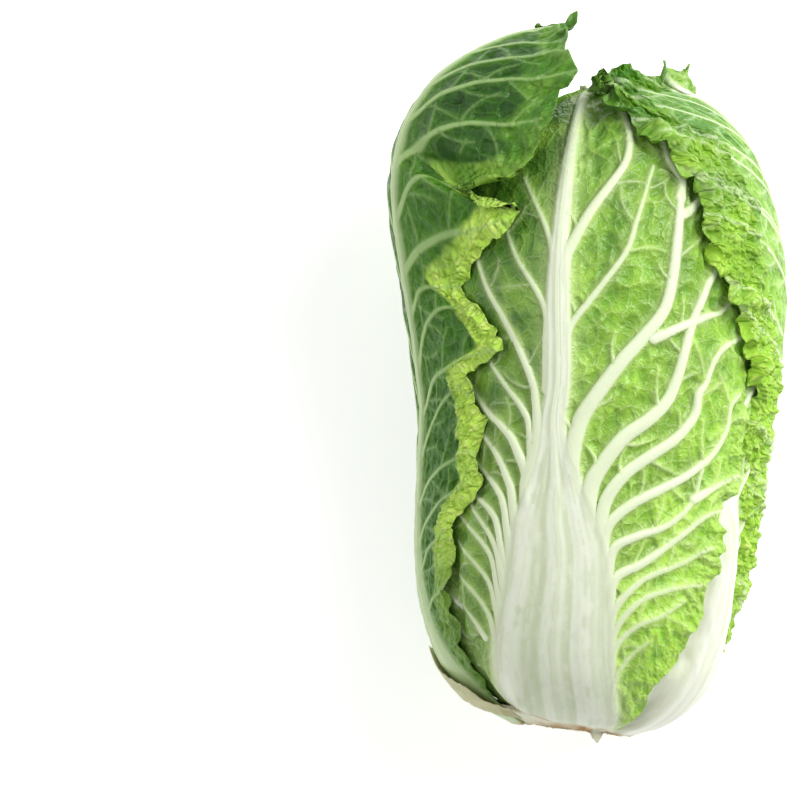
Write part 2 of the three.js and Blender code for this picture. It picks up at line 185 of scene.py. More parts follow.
class Cells:
    """Irregular cells over a plane, as the finest leaf veins draw them."""

    REACH = range(-2, 3)
    SIDE = 64
    JITTER = 0.85  # how far the cells stray from a square grid

    def __init__(self, seed: int) -> None:
        """Picks the pattern by a seed."""
        low, high = 0.5 - self.JITTER / 2, 0.5 + self.JITTER / 2
        self.seeds = np.random.default_rng(seed).uniform(low, high, (self.SIDE, self.SIDE, 3))

    def at(self, x: Array, y: Array) -> tuple[Array, Array, Array]:
        """Measures cells one unit wide.

        Args:
            x, y: places on the plane.

        Returns:
            The distance from each point to the edge of its cell, a random value for its cell, and the height
            of the point on a plane that leans at random through the middle of its cell.
        """
        i, j = np.floor(x).astype(int), np.floor(y).astype(int)
        places, values = [], []
        for di in self.REACH:
            for dj in self.REACH:
                seed = self.seeds[(i + di) % self.SIDE, (j + dj) % self.SIDE]
                places.append(np.stack([i + di + seed[..., 0] - x, j + dj + seed[..., 1] - y], -1))
                values.append(seed[..., 2])
        offsets = np.stack(places, 0)
        nearest = np.argmin((offsets**2).sum(-1), 0)[None]
        own = np.take_along_axis(offsets, nearest[..., None], 0)
        apart = offsets - own
        length = np.linalg.norm(apart, axis=-1)
        edge = ((offsets + own) * 0.5 * apart).sum(-1) / np.maximum(length, 1e-9)
        edge = np.where(length < 1e-9, np.inf, edge).min(0)
        value = np.take_along_axis(np.stack(values, 0), nearest, 0)[0]
        heading = 60.0 * value
        return edge, value, own[0][..., 0] * np.cos(heading) + own[0][..., 1] * np.sin(heading)


# ------------------------------------------------------------------ the head


@dataclass(frozen=True)
class HeadShape:
    """The barrel shape of the head, and the tapering stem and axis that its leaves wrap.

    Attributes:
        outline: place along the axis and radius at each station.
        core: the same for the stem core, and then the axis above it.
        height_ratio: the height of the head over its width, as it lies.
        side_lean: sideways travel of the axis per millimetre along it.
        lying_tilt: rise of the axis per millimetre along it.
        flat_depth: how far below the axis the underside is pressed flat.
        cut_face: place along the axis of the cut butt.
        face_radius: radius of the stem's cut face.
        butt_tilt: how askew the butt is cut, as millimetres lower per millimetre towards +X.
        tilted: the skew grows from none to full between these distances from the middle.
        last_station: where the outline meets the axis.
        deepest: share of the way in to the core that leaves keep to, so that none reaches into the stem.
    """

    outline: Pairs = (
        (-147, 31), (-142, 42.5), (-134, 53), (-122, 62.5), (-106, 69.5), (-86, 75), (-62, 78.5), (-35, 80.5),
        (-6, 82.5), (24, 84), (52, 83.5), (77, 79.5), (99, 71), (118, 59), (132, 44), (142, 27), (147, 9),
    )
    core: Pairs = (
        (-147.5, 21), (-142, 20), (-135.5, 18.5), (-127.5, 16), (-120, 12.5), (-113.5, 8), (-108, 3.5),
        (-90, 1.5), (-68, 1.5), (-44, 1.5), (-20, 1.5), (3, 1.5), (25, 1.5), (45, 1.5), (62, 1.5),
        (75, 1.5), (84, 1.5),
    )
    height_ratio: float = 0.93
    side_lean: float = 0.072
    lying_tilt: float = 0.08
    flat_depth: float = 68.5
    cut_face: float = -150.5
    face_radius: float = 19.0
    butt_tilt: float = 0.12
    tilted: tuple[float, float] = (70.0, 147.0)
    last_station: float = 16.4
    deepest: float = 0.96

    def __post_init__(self) -> None:
        """Works out the tables that the methods read."""
        stations = np.linspace(0.0, self.last_station, 821)
        outline = spline(np.array(self.outline, float), stations)
        core = spline(np.array(self.core, float), stations)
        steps = np.linalg.norm(np.diff(outline, axis=0), axis=1)
        direction = unit(np.gradient(outline, axis=0))
        through = core - outline
        thickness = np.abs(through[:, 0] * direction[:, 1] - through[:, 1] * direction[:, 0])
        tables = {
            "stations": stations,
            "lengths": np.concatenate([[0.0], np.cumsum(steps)]),
            "thicknesses": np.maximum(thickness, 1.0),
            "radii": outline[:, 1],
        }
        for name, table in tables.items():
            object.__setattr__(self, name, table)

    def along(self, station: Array) -> Array:
        """Millimetres along the outline from the base to a station."""
        return np.interp(station, self.stations, self.lengths)

    def station(self, along: Array) -> Array:
        """The station at so many millimetres along the outline."""
        return np.interp(along, self.lengths, self.stations)

    def radius(self, station: Array) -> Array:
        """The radius of the head at a station."""
        return np.interp(station, self.stations, self.radii)

    def through(self, station: Array) -> Array:
        """Millimetres straight through the leaves from the outside to the core at a station."""
        return np.interp(station, self.stations, self.thicknesses)

    def ring(self, rows: Pairs, station: Array, degrees: Array) -> Array:
        """Finds points round the axis on one of the two outlines.

        Args:
            rows: the outline.
            station, degrees: where on it.

        Returns:
            Places in the head's frame.
        """
        y, radius = np.moveaxis(spline(np.array(rows, float), station), -1, 0)
        turn = np.radians(degrees)
        return self.lay_down(radius * np.sin(turn), y, radius * np.cos(turn))

    def lay_down(self, across: Array, y: Array, up: Array) -> Array:
        """Moves points of an upright, round head to where they are once it lies, leans and is cut askew.

        Args:
            across, y, up: the points.

        Returns:
            Places in the head's frame.
        """
        across, y, up = np.broadcast_arrays(across, y, up)
        skew = self.butt_tilt * smoothstep(*self.tilted, -y)
        height = self.height_ratio * up + self.lying_tilt * y
        return np.stack([across + self.side_lean * y, y - skew * across, height], -1)

    def point(self, station: Array, degrees: Array, inward: Array) -> Array:
        """Points of the head.

        Args:
            station: stations.
            degrees: angles round the axis.
            inward: millimetres in from the outside; below 0 stands off the head.

        Returns:
            Places in the head's frame, with one more axis of length 3.
        """
        outside = self.ring(self.outline, station, degrees)
        outside[..., 2] = np.maximum(outside[..., 2], -self.flat_depth)
        share = np.minimum(inward / self.through(station), self.deepest)[..., None]
        return outside + (self.ring(self.core, station, degrees) - outside) * share


HEAD = HeadShape()


@dataclass(frozen=True)
class Placement:
    """Where the head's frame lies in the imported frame, in millimetres."""

    shift: tuple[float, float, float]

    @classmethod
    def from_stem(cls) -> "Placement":
        """Finds the head from the stem core's box: its cut face, its sideways middle and the floor.

        Returns:
            Where the head lies.
        """
        low, high = (np.array(corner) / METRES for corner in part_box("stem_core"))
        widest_ring = HEAD.core[0][0]
        across = (low[0] + high[0]) / 2 - HEAD.side_lean * widest_ring
        lowest = HEAD.cut_face - HEAD.butt_tilt * HEAD.face_radius
        return cls((across, low[1] - lowest, HEAD.flat_depth))

    def metres(self, points: Array) -> Array:
        """Turns places in the head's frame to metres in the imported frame."""
        return (np.asarray(points) + np.array(self.shift)) * METRES


class LaidLeaves:
    """Remembers how deep the leaves laid so far fill the head, on a map of stations and degrees."""

    STATIONS = np.linspace(0.0, 16.5, 133)
    DEGREES = np.arange(0.0, 360.0, 2.0)
    GAP = 0.4
    LAP = 7.0  # a leaf holds the ones under it down to this far past its own margin
    TIP_LAP = 0.3  # and this many stations past its tip
    SOFTEN = (1, 4, 7, 4, 1)  # blending of the map, over neighbours about 3 mm apart

    def __init__(self) -> None:
        """Starts with nothing laid."""
        self.filled = np.zeros((len(self.STATIONS), len(self.DEGREES)))

    def read(self, station: Array, degrees: Array) -> Array:
        """Reads the map.

        Args:
            station, degrees: places on the head.

        Returns:
            Millimetres already filled there.
        """
        x = np.clip(station, 0, self.STATIONS[-1]) / (self.STATIONS[1] - self.STATIONS[0])
        y = np.mod(degrees, 360.0) / (self.DEGREES[1] - self.DEGREES[0])
        i = np.clip(np.floor(x).astype(int), 0, len(self.STATIONS) - 2)
        j = np.floor(y).astype(int) % len(self.DEGREES)
        k = (j + 1) % len(self.DEGREES)
        s, t = x - i, y - np.floor(y)
        low = self.soft[i, j] * (1 - s) + self.soft[i + 1, j] * s
        high = self.soft[i, k] * (1 - s) + self.soft[i + 1, k] * s
        return low * (1 - t) + high * t

    @property
    def soft(self) -> Array:
        """The map with its steps blended.

        Returns:
            Millimetres filled at each of its places.
        """
        weights = np.array(self.SOFTEN, float) / sum(self.SOFTEN)
        reach = len(weights) // 2
        padded = np.pad(self.filled, ((reach, reach), (0, 0)), mode="edge")
        blended = sum(w * padded[n : n + len(self.STATIONS)] for n, w in enumerate(weights))
        return sum(w * np.roll(blended, n - reach, axis=1) for n, w in enumerate(weights))

    def lay(self, leaf: "Leaf") -> None:
        """Adds a leaf to the map.

        Args:
            leaf: the leaf, which goes under all that are on the map.
        """
        station, degrees = np.meshgrid(self.STATIONS, self.DEGREES, indexing="ij")
        middle = read_profile(leaf.midrib, station)
        away = np.mod(degrees - middle + 180.0, 360.0) - 180.0
        here = middle + away
        lap = np.degrees(self.LAP / HEAD.radius(station))
        left, right = read_profile(leaf.left, station) - lap, read_profile(leaf.right, station) + lap
        inside = (here > left) & (here < right)
        inside &= (station >= leaf.base) & (station <= leaf.tip + self.TIP_LAP)
        depth = self.read(station, here) + leaf.thickness(station, here) + self.GAP
        depth = depth - leaf.stands_off(station, here)
        self.filled = np.where(inside, np.maximum(self.filled, depth), self.filled)


# ------------------------------------------------------------------ veins


@dataclass(frozen=True)
class Plan:
    """The drawing that veins are marked on: the head seen from above, in units across and down the sheet."""

    unit: float = 0.4545
    axis_across: float = 597.3
    middle_down: float = 405.0

    def place(self, across: float, down: float) -> tuple[float, float]:
        """Turns a place on the sheet to X and Y in the head's frame."""
        return (across - self.axis_across) * self.unit, (self.middle_down - down) * self.unit


PLAN = Plan()


@dataclass
class Vein:
    """One vein: its line on the leaf and how wide it is.

    Attributes:
        line: millimetres across from the midrib and along from the base, one row for each point.
        wide: its full width at each point.
        lift: how far its ridge stands up, as a share of its width.
        foot: share of its length over which its ridge rises out of the stalk.
    """

    line: Array
    wide: Array
    lift: float = 0.3
    foot: float = 0.0

    @classmethod
    def through(cls, points: Array, start: float, end: float, lift: float = 0.3) -> "Vein":
        """Makes a smooth vein through a few points, tapering from one width to another.

        Args:
            points: places on the leaf, across and along.
            start, end: its width at its first and last point.
            lift: how far its ridge stands up, as a share of its width.

        Returns:
            The vein.
        """
        points = np.asarray(points, float)
        at = np.linspace(0.0, len(points) - 1.0, 5 * (len(points) - 1) + 1)
        return cls(spline(points, at), end + (start - end) * np.linspace(1, 0, len(at)) ** 1.3, lift)

    def forks(self, chance: np.random.Generator, length: float, count: int) -> list["Vein"]:
        """Grows small side veins off this one, on both sides.

        Args:
            chance: draws the random numbers.
            length: about how long they get.
            count: how many at most.

        Returns:
            The small veins.
        """
        grown = []
        for n in range(count):
            share = (n + chance.uniform(0.2, 0.9)) / count
            i = int(np.clip(share * (len(self.line) - 1), 1, len(self.line) - 2))
            if i < self.foot * len(self.line):
                continue
            ahead = self.line[i + 1] - self.line[i - 1]
            heading = math.atan2(ahead[1], ahead[0]) + (-1) ** n * math.radians(chance.uniform(38, 62))
            reach = length * chance.uniform(0.6, 1.2)
            bend = chance.uniform(-0.5, 0.5)
            steps = [self.line[i]]
            for k in range(4):
                turn = heading + bend * (k - 1.0) * 0.6
                steps.append(steps[-1] + reach / 4 * np.array([math.cos(turn), math.sin(turn)]))
            start = max(0.6, 0.3 * self.wide[i])
            grown.append(Vein.through(np.array(steps), start, 0.4, self.lift))
        return grown


@dataclass
class VeinRelief:
    """What a set of veins does to a leaf, at each of its points.

    Attributes:
        ridge: how far the veins stand up.
        gap: distance to the side of the nearest vein, below 0 on it.
        strength: how pale the nearest vein is, from 0 to 1.
        crease_and_painted_shade: nearness to the left side of a thick vein, from 0 to 1, where it folds and
            is painted in shade.
    """

    ridge: Array
    gap: Array
    strength: Array
    crease_and_painted_shade: Array

    CREASE_AND_SHADE_REACH = 6.5  # how soon the fold and painted shade beside a thick vein fade
    THICK = 2.4  # a vein this wide has a fold and painted shade on its left side
    FAR = 12.0  # the gap is given up to this far
    REACH = 14.0  # and each vein measured this far round it

    @property
    def mark(self) -> Array:
        """1 on a vein and 0 off it."""
        return 1 - smoothstep(-0.4, 0.6, self.gap)

    @classmethod
    def of(cls, veins: list[Vein], across: Array, along: Array) -> "VeinRelief":
        """Measures veins at points of the leaf.

        Args:
            veins: the veins.
            across, along: the points.

        Returns:
            What the veins do there.
        """
        shape, points = across.shape, np.stack([across.ravel(), along.ravel()], -1)
        ridge, strength, crease_and_painted_shade = (np.zeros(len(points)) for _ in range(3))
        gap = np.full(len(points), cls.FAR)
        for vein in veins:
            reach = cls.REACH + vein.wide.max()
            low, high = vein.line.min(0) - reach, vein.line.max(0) + reach
            near = np.flatnonzero(((points > low) & (points < high)).all(1))
            if not len(near):
                continue
            here = points[near]
            best = np.full(len(near), np.inf)
            half, side, gone = (np.zeros(len(near)) for _ in range(3))
            for n in range(len(vein.line) - 1):
                start, step = vein.line[n], vein.line[n + 1] - vein.line[n]
                t = np.clip((here - start) @ step / max(step @ step, 1e-9), 0, 1)
                off = here - start - t[:, None] * step
                distance = np.hypot(off[:, 0], off[:, 1])
                closer = distance < best
                best = np.where(closer, distance, best)
                width = vein.wide[n] + t * (vein.wide[n + 1] - vein.wide[n])
                half = np.where(closer, width / 2, half)
                gone = np.where(closer, (n + t) / (len(vein.line) - 1), gone)
                side = np.where(closer, step[0] * off[:, 1] - step[1] * off[:, 0], side)
            foot = 1.8 * half + 0.8
            rise = vein.lift * 2 * half * np.cos(np.pi / 2 * np.clip(best / foot, 0, 1)) ** 1.6
            grown = smoothstep(0.0, vein.foot, gone) if vein.foot else 1.0
            rise *= grown
            ridge[near] = np.maximum(ridge[near], rise)
            to_side = best - half
            paleness = np.clip(0.15 + half / 1.6, 0, 1)
            strength[near] = np.where(to_side < gap[near], paleness, strength[near])
            gap[near] = np.minimum(gap[near], to_side)
            # painted shade: a darker band on the left side of thick veins, away from the light; the same
            # share also sinks a fold there
            thick = half * 2 > cls.THICK
            shade = np.where(thick & (side > 0), np.exp(-np.clip(to_side, 0, None) / cls.CREASE_AND_SHADE_REACH), 0.0)
            crease_and_painted_shade[near] = np.maximum(crease_and_painted_shade[near], shade * grown)
        return cls(*(a.reshape(shape) for a in (ridge, gap, strength, crease_and_painted_shade)))


class VeinStyle(Enum):
    """How a leaf gets its veins."""

    DRAWN = "drawn"
    FEATHERED = "feathered"


# Veins on the plan: width at the start and at the end in millimetres, then the points they run through.
Drawn = tuple[float, float, tuple[tuple[float, float], ...]]

FRONT_LEAF_VEINS: tuple[Drawn, ...] = (
    # right of the midrib, from the crown down
    (4.2, 2.0, ((563, 262), (569, 247), (588, 214), (610, 184), (624, 162), (627, 137), (621, 115))),
    (2.2, 1.2, ((566, 329), (588, 299), (621, 255), (632, 225), (639, 206), (650, 170))),
    (4.8, 2.2, ((569, 451), (577, 421), (591, 399), (618, 362), (638, 340), (660, 313), (668, 282),
                (673, 247), (676, 214), (677, 186), (665, 159), (660, 140))),
    (2.8, 1.6, ((677, 200), (679, 186), (682, 159))),
    (2.6, 1.5, ((680, 217), (700, 200), (717, 186))),
    (2.4, 1.4, ((650, 340), (682, 326), (712, 315), (728, 302))),
    (4.6, 2.0, ((588, 487), (599, 465), (621, 438), (643, 421), (662, 402), (673, 378), (682, 348),
                (690, 318), (704, 288), (717, 263), (724, 241))),
    (3.6, 1.6, ((602, 501), (618, 476), (643, 457), (671, 438), (690, 416), (695, 396), (701, 384),
                (715, 354), (734, 340), (756, 324))),
    (3.0, 1.5, ((605, 525), (627, 503), (654, 490), (682, 476), (709, 454), (723, 429), (727, 405),
                (736, 394))),
    (3.0, 1.4, ((610, 547), (632, 536), (665, 523), (690, 498), (698, 470))),
    (2.0, 1.2, ((690, 498), (712, 487), (736, 475))),
    (2.9, 1.4, ((612, 577), (640, 561), (671, 539), (701, 517), (720, 509))),
    (2.5, 1.2, ((613, 605), (640, 577), (679, 561), (709, 547))),
    (2.4, 1.1, ((613, 627), (635, 599), (668, 588), (701, 583))),
    (2.2, 1.0, ((613, 646), (632, 624), (660, 613), (682, 599))),
    (2.0, 0.9, ((613, 676), (627, 654), (645, 640))),
    # left of the midrib
    (2.4, 1.2, ((551, 263), (544, 233), (534, 206), (523, 181))),
    (4.0, 1.6, ((525, 481), (534, 449), (536, 421), (534, 402), (531, 384), (520, 354), (503, 321),
                (487, 291), (475, 258))),
    (2.2, 1.2, ((544, 315), (534, 293), (514, 258), (502, 222))),
    (3.6, 1.6, ((524, 473), (518, 456), (507, 435), (493, 419), (476, 396), (462, 374))),
    (2.4, 1.3, ((527, 424), (518, 406), (504, 386), (486, 357))),
    (3.0, 1.4, ((510, 491), (504, 475), (496, 455), (483, 435), (469, 414))),
    (2.8, 1.3, ((503, 506), (496, 489), (484, 472), (470, 456))),
    (2.6, 1.2, ((497, 527), (490, 511), (476, 497), (458, 486))),
    (2.4, 1.2, ((497, 553), (490, 536), (479, 520), (466, 496))),
    (2.2, 1.1, ((490, 556), (473, 532), (455, 508))),
    (2.0, 1.0, ((489, 585), (475, 562), (458, 541))),
    (1.9, 1.0, ((487, 611), (473, 590), (459, 573))),
    (1.7, 0.9, ((485, 636), (474, 618), (461, 602))),
)

# The front leaf's midrib and stalk: across, down, and half its width, all in plan units.
FRONT_LEAF_STALK = (
    (556, 725, 66), (555, 705, 70), (548, 655, 67), (551, 600, 61), (554, 550, 54), (552, 515, 46),
    (553, 480, 30), (551, 450, 18), (551, 420, 13), (555, 380, 11.5), (555, 300, 11.5), (557, 250, 8.5),
    (561, 200, 7), (569, 150, 5), (580, 104, 3),
)

# ------------------------------------------------------------------ leaves


@dataclass
class Margin:
    """How one side of a leaf ends, each as (station, value) pairs.

    Attributes:
        curl: how far the margin rolls outwards, in radians; past about 1.6 it shows the leaf's inner face.
        ruffle: how far it waves in and out, in millimetres.
        frill: how bright and how finely blistered it is, from 0 to 1.
        reach: how wide the rolled band is, in millimetres.
    """

    curl: Pairs = ((0, 0), (16, 0))
    ruffle: Pairs = ((0, 0), (16, 0))
    frill: Pairs = ((0, 0.3), (16, 0.3))
    reach: float = 12.0


@dataclass
class Leaf:
    """One leaf of the head, as a closed sheet with raised veins, crinkled blade and ruffled margins.

    Attributes:
        node: the CAD node that it stands for.
        left, right, midrib: degrees at stations.
        finish: its finish.
        seed: picks its random shapes.
        base, tip: the stations where it starts and ends at its midrib.
        tip_drop: how many stations lower its tip's corners are.
        rows, columns: mesh cells along and across the outer face, both even; the inner face has half as many.
        stand_off: how far it stands off the head at its left margin, midrib and right margin, as shares of
            the way through the leaves to the core.
        left_margin, right_margin, tip_margin: how its margins end.
        lobes: how deep the outline's scallops are, in millimetres.
        stalk: half the width in millimetres of the pale stalk and midrib at stations.
        crinkle: height in millimetres of the blisters, left and right of the midrib.
        crumple: height in millimetres of the sharp folds, left and right of the midrib.
        blister: width in millimetres of a blister, left and right of the midrib.
        tone_and_painted_light: lightness of the blade from 0 to 1 at stations, left and right of the midrib;
            partly its own colour and partly painted light and shade.
        base_rise: how many stations higher it starts, at shares of the way from its left margin (-1) to its
            right one (1).
        bulk: thickness of the midrib against the largest leaves' one.
        lumps: depth in millimetres of the clefts between the lumps of a frilled margin.
        greening: how far its veins turn green towards the tip, from 0 to 1.
        style: how its veins are laid out.
        drawn, stalk_line: its veins, and its midrib and stalk, on the plan.
        feather: millimetres between side veins that are not drawn.
        slot: a name for its material slot; not used.
    """

    node: str
    left: Pairs
    right: Pairs
    midrib: Pairs
    finish: "LeafFinish"
    seed: int
    base: float = 0.0
    tip: float = 15.3
    tip_drop: float = 1.1
    rows: int = 200
    columns: int = 140
    stand_off: tuple[Pairs, Pairs, Pairs] | None = None
    left_margin: Margin = field(default_factory=Margin)
    right_margin: Margin = field(default_factory=Margin)
    tip_margin: Margin = field(default_factory=Margin)
    lobes: float = 2.0
    stalk: Pairs = (
        (0, 18), (2, 27), (4, 28), (5, 24), (6, 17), (7, 11), (8, 7.5), (10, 5), (12, 3.6), (14, 2), (15, 1),
    )
    crinkle: tuple[float, float] = (0.7, 0.7)
    crumple: tuple[float, float] = (0.3, 0.3)
    blister: tuple[float, float] = (9.0, 9.0)
    tone_and_painted_light: tuple[Pairs, Pairs] = (((0, 0.5), (16, 0.5)), ((0, 0.5), (16, 0.5)))
    base_rise: Pairs = ((-1, 0), (1, 0))
    bulk: float = 1.0
    lumps: float = 1.0
    greening: float = 0.0
    style: VeinStyle = VeinStyle.FEATHERED
    drawn: tuple[Drawn, ...] = ()
    stalk_line: tuple[tuple[float, float, float], ...] = ()
    feather: float = 21.0
    slot: str = "outer_leaf"

    BLADE = 0.8  # thickness of the blade itself
    EDGE = 0.45  # its thickness at the very margin
    RECESS = 1.4  # how far the blade lies below the tops of the veins
    MIDRIB = (  # thickness of the stalk and midrib at stations
        (0, 2.9), (1, 4.2), (2, 5.6), (3, 6.8), (4, 7.4), (5, 7.2), (6, 6.6), (7, 5.8), (8, 5), (9, 4.2),
        (10, 3.5), (12, 2.3), (14, 1.3), (16, 0.5),
    )
    MIDRIB_HALF = ((0, 30), (3, 28), (5, 24), (7, 18), (10, 13), (16, 12))  # half its width, in degrees
    # Waves of the outline and of a ruffled margin: length in millimetres, place in the wobble, and strength.
    SCALLOPS = ((13.0, 3.0, 1.0), (5.5, 9.0, 0.5), (2.4, 21.0, 0.28))
    RUFFLES = ((8.5, 60.0, 1.0), (4.1, 71.0, 0.5))
    CURVE_STEPS = 12  # steps in which a rolled margin's curve is summed up
    SOFT = 3.0  # millimetres over which the tip's margin takes over from the sides' at a corner
    CREASE = 1.7  # depth of the fold on the left side of a thick vein
    LUMP = 10.0  # width of the lumps of a frilled margin
    BUBBLE = 3.4  # width of the small blisters on them
    BUBBLE_HEIGHT = 1.1  # and their height
    TOP = 12.0  # how far below the axis a place on the plan can still be seen from above
    FLARE = 1.6  # how much wider a vein is where it leaves the stalk
    ROOT_REACH = 34.0  # a vein that starts this near the midrib comes out of the stalk
    ROOTS = ((0.78, 34.0), (0.9, 15.0))  # its foot in the stalk: shares of the way out, and how far back
    FORK = 17.0  # length of a small vein that forks off
    VEIN_STEP = 6.0  # steps in which a side vein grows

    # ---- sizes that the other leaves need

    def thickness(self, station: Array, degrees: Array) -> Array:
        """Works out the room that the leaf takes: recess, blade and the swelling of its midrib.

        Args:
            station, degrees: places on the head.

        Returns:
            Millimetres there.
        """
        away = np.abs(degrees - read_profile(self.midrib, station)) / read_profile(self.MIDRIB_HALF, station)
        swell = 0.5 + 0.5 * np.cos(np.pi * np.clip(away, 0, 1))
        return self.RECESS + self.BLADE + self.rough + self.bulk * read_profile(self.MIDRIB, station) * swell

    @property
    def rough(self) -> float:
        """Millimetres of room for the blisters and folds."""
        return max(self.crinkle) + 0.5 * max(self.crumple)

    def stands_off(self, station: Array, degrees: Array) -> Array:
        """Works out how far the leaf stands off the head, eased from its midrib to each margin.

        Args:
            station, degrees: places on the head.

        Returns:
            Millimetres there.
        """
        if self.stand_off is None:
            return np.zeros_like(station)
        middle = read_profile(self.midrib, station)
        is_left = degrees < middle
        margin = np.where(is_left, read_profile(self.left, station), read_profile(self.right, station))
        share = smoothstep(0.0, 1.0, np.abs(degrees - middle) / np.maximum(np.abs(margin - middle), 1e-6))
        left, centre, right = (read_profile(p, station) for p in self.stand_off)
        depth = centre + (np.where(is_left, left, right) - centre) * share
        return depth * HEAD.through(station)

    # ---- the sheet

    def lay_out(self, laid: LaidLeaves) -> None:
        """Places the leaf's grid on the head, under the leaves already laid.

        Args:
            laid: the leaves already on the head.
        """
        self.wobble = Wobble(self.seed)
        whole = np.arange(3, 14)
        left_width = np.mean(read_profile(self.midrib, whole) - read_profile(self.left, whole))
        right_width = np.mean(read_profile(self.right, whole) - read_profile(self.midrib, whole))
        left_columns = int(round(self.columns * left_width / (left_width + right_width)))
        right_columns = self.columns - left_columns
        w = np.concatenate([np.linspace(-1, 0, left_columns + 1), np.linspace(0, 1, right_columns + 1)[1:]])
        u = np.linspace(0, 1, self.rows + 1)
        self.u, self.w = np.meshgrid(u, w, indexing="ij")
        base = HEAD.along(self.base + read_profile(self.base_rise, self.w))
        tip = HEAD.along(self.tip - self.tip_drop * np.abs(self.w) ** 2.4)
        self.along = base + (tip - base) * self.u
        self.to_tip = (tip - base) * (1 - self.u)
        self.station = HEAD.station(self.along)
        middle = read_profile(self.midrib, self.station)
        side = np.where(self.w < 0, -1.0, 1.0)
        to_left = middle - read_profile(self.left, self.station)
        to_right = read_profile(self.right, self.station) - middle
        half = np.where(self.w < 0, to_left, to_right)
        per_degree = np.radians(1.0) * HEAD.radius(self.station)
        scallop = self.lobes * self.waves(self.along, side, self.SCALLOPS)
        ease = smoothstep(0, 40, self.along - base) * np.abs(self.w) ** 4
        reach = half + scallop * ease / np.maximum(per_degree, 0.2)
        self.degrees = middle + self.w * reach
        self.across = (self.degrees - middle) * per_degree
        self.to_side = (1 - np.abs(self.w)) * half * per_degree
        self.side = side
        self.room = laid.read(self.station, self.degrees)
        inward = self.room + self.RECESS - self.stands_off(self.station, self.degrees)
        self.sheet = HEAD.point(self.station, self.degrees, inward)
        self.to_base = self.along - base

    def waves(self, along: Array, side: Array, waves: tuple[tuple[float, float, float], ...]) -> Array:
        """Adds up random waves along a margin, other ones on each side of the leaf.

        Args:
            along, side: places on the margins.
            waves: their length, place in the wobble, and strength.

        Returns:
            Their sum at each place.
        """
        return sum(
            strength * self.wobble.at(along / length, place + side) for length, place, strength in waves
        )

    def directions(self) -> tuple[Array, Array, Array]:
        """Unit directions at each point: across to the right, along to the tip, and outwards."""
        along, across = np.gradient(self.sheet, axis=0), np.gradient(self.sheet, axis=1)
        return unit(across), unit(along), unit(np.cross(across, along))

    def roll_margins(self) -> None:
        """Rolls and ruffles the margins outwards."""
        right, ahead, out = self.directions()
        soft = self.SOFT
        nearer = np.minimum(self.to_side, self.to_tip)
        near = nearer - soft * np.log1p(np.exp(-np.abs(self.to_side - self.to_tip) / soft))
        tip_share = 1 / (1 + np.exp(np.clip((self.to_tip - self.to_side) / soft, -30, 30)))
        toward = unit(right * (self.side * (1 - tip_share))[..., None] + ahead * tip_share[..., None])
        sides = (self.left_margin, self.right_margin)
        pick = lambda kind: np.where(
            self.side < 0, read_profile(getattr(sides[0], kind), self.station),
            read_profile(getattr(sides[1], kind), self.station),
        )
        at_tip = lambda kind: read_profile(getattr(self.tip_margin, kind), self.across)
        curl, ruffle, frill = (
            pick(kind) * (1 - tip_share) + at_tip(kind) * tip_share for kind in ("curl", "ruffle", "frill")
        )
        reach = np.where(self.side < 0, sides[0].reach, sides[1].reach)
        reach = reach * (1 - tip_share) + self.tip_margin.reach * tip_share
        run = self.along * (1 - tip_share) + (self.across + 300) * tip_share
        strays = self.wobble.layered(run / 21.0, 40 + self.side, 2)
        curl = curl * np.clip(1 + 0.55 * strays, 0.15, 1.8)
        share = np.clip(1 - near / reach, 0, 1.25)
        steps = (np.arange(self.CURVE_STEPS) + 0.5) / self.CURVE_STEPS
        turns = curl[..., None] * (share[..., None] * steps) ** 2
        straight = share * np.cos(turns).mean(-1)
        risen = share * np.sin(turns).mean(-1)
        moved = toward * (reach * (straight - share))[..., None] + out * (reach * risen)[..., None]
        wave = self.waves(run, self.side, self.RUFFLES) * ruffle * np.clip(share, 0, 1) ** 1.5
        self.sheet = self.sheet + moved + out * wave[..., None]
        frayed = share + 0.24 * self.wobble.layered(run / 7.0, near / 7.0, 3)
        self.frill = frill * smoothstep(0.16, 0.42, frayed)
        self.to_margin = np.clip(near, 0, None)

    def find(self, across: float, down: float) -> Array:
        """Finds the point of the leaf that lies under a place on the plan.

        Args:
            across, down: the place on the plan.

        Returns:
            The place on the leaf, across and along.
        """
        x, y = PLAN.place(across, down)
        distance = (self.sheet[..., 0] - x) ** 2 + (self.sheet[..., 1] - y) ** 2
        on_top = self.sheet[..., 2] > HEAD.lying_tilt * self.sheet[..., 1] - self.TOP
        distance = np.where(on_top, distance, np.inf)
        i = np.unravel_index(np.argmin(distance), distance.shape)
        return np.array([self.across[i], self.along[i]])

    def grow_veins(self) -> list[Vein]:
        """Lays out the leaf's side veins and their forks.

        Returns:
            The veins, and after them their forks.
        """
        chance = np.random.default_rng(self.seed + 1)
        if self.style is VeinStyle.DRAWN:
            main = [
                self.rooted(start, end, [self.find(*place) for place in places])
                for start, end, places in self.drawn
            ]
        else:
            main = self.feathered_veins(chance)
        small = [fork for vein in main for fork in vein.forks(chance, self.FORK, max(2, len(vein.line) // 6))]
        return main + small

    def rooted(self, start: float, end: float, points: list[Array]) -> Vein:
        """Makes a side vein through some points, led down into the stalk if it starts there.

        Args:
            start, end: its width at its first and last point.
            points: places on the leaf, across and along.

        Returns:
            The vein.
        """
        across, along = points[0]
        if not self.stalk_line or abs(across) > self.ROOT_REACH:
            return Vein.through(np.array(points), self.FLARE * start, end)
        roots = [(share * across, along - depth) for share, depth in self.ROOTS]
        vein = Vein.through(np.array(roots + points), self.FLARE * start, end)
        vein.foot = len(self.ROOTS) / (len(points) + len(self.ROOTS) - 1)
        return vein

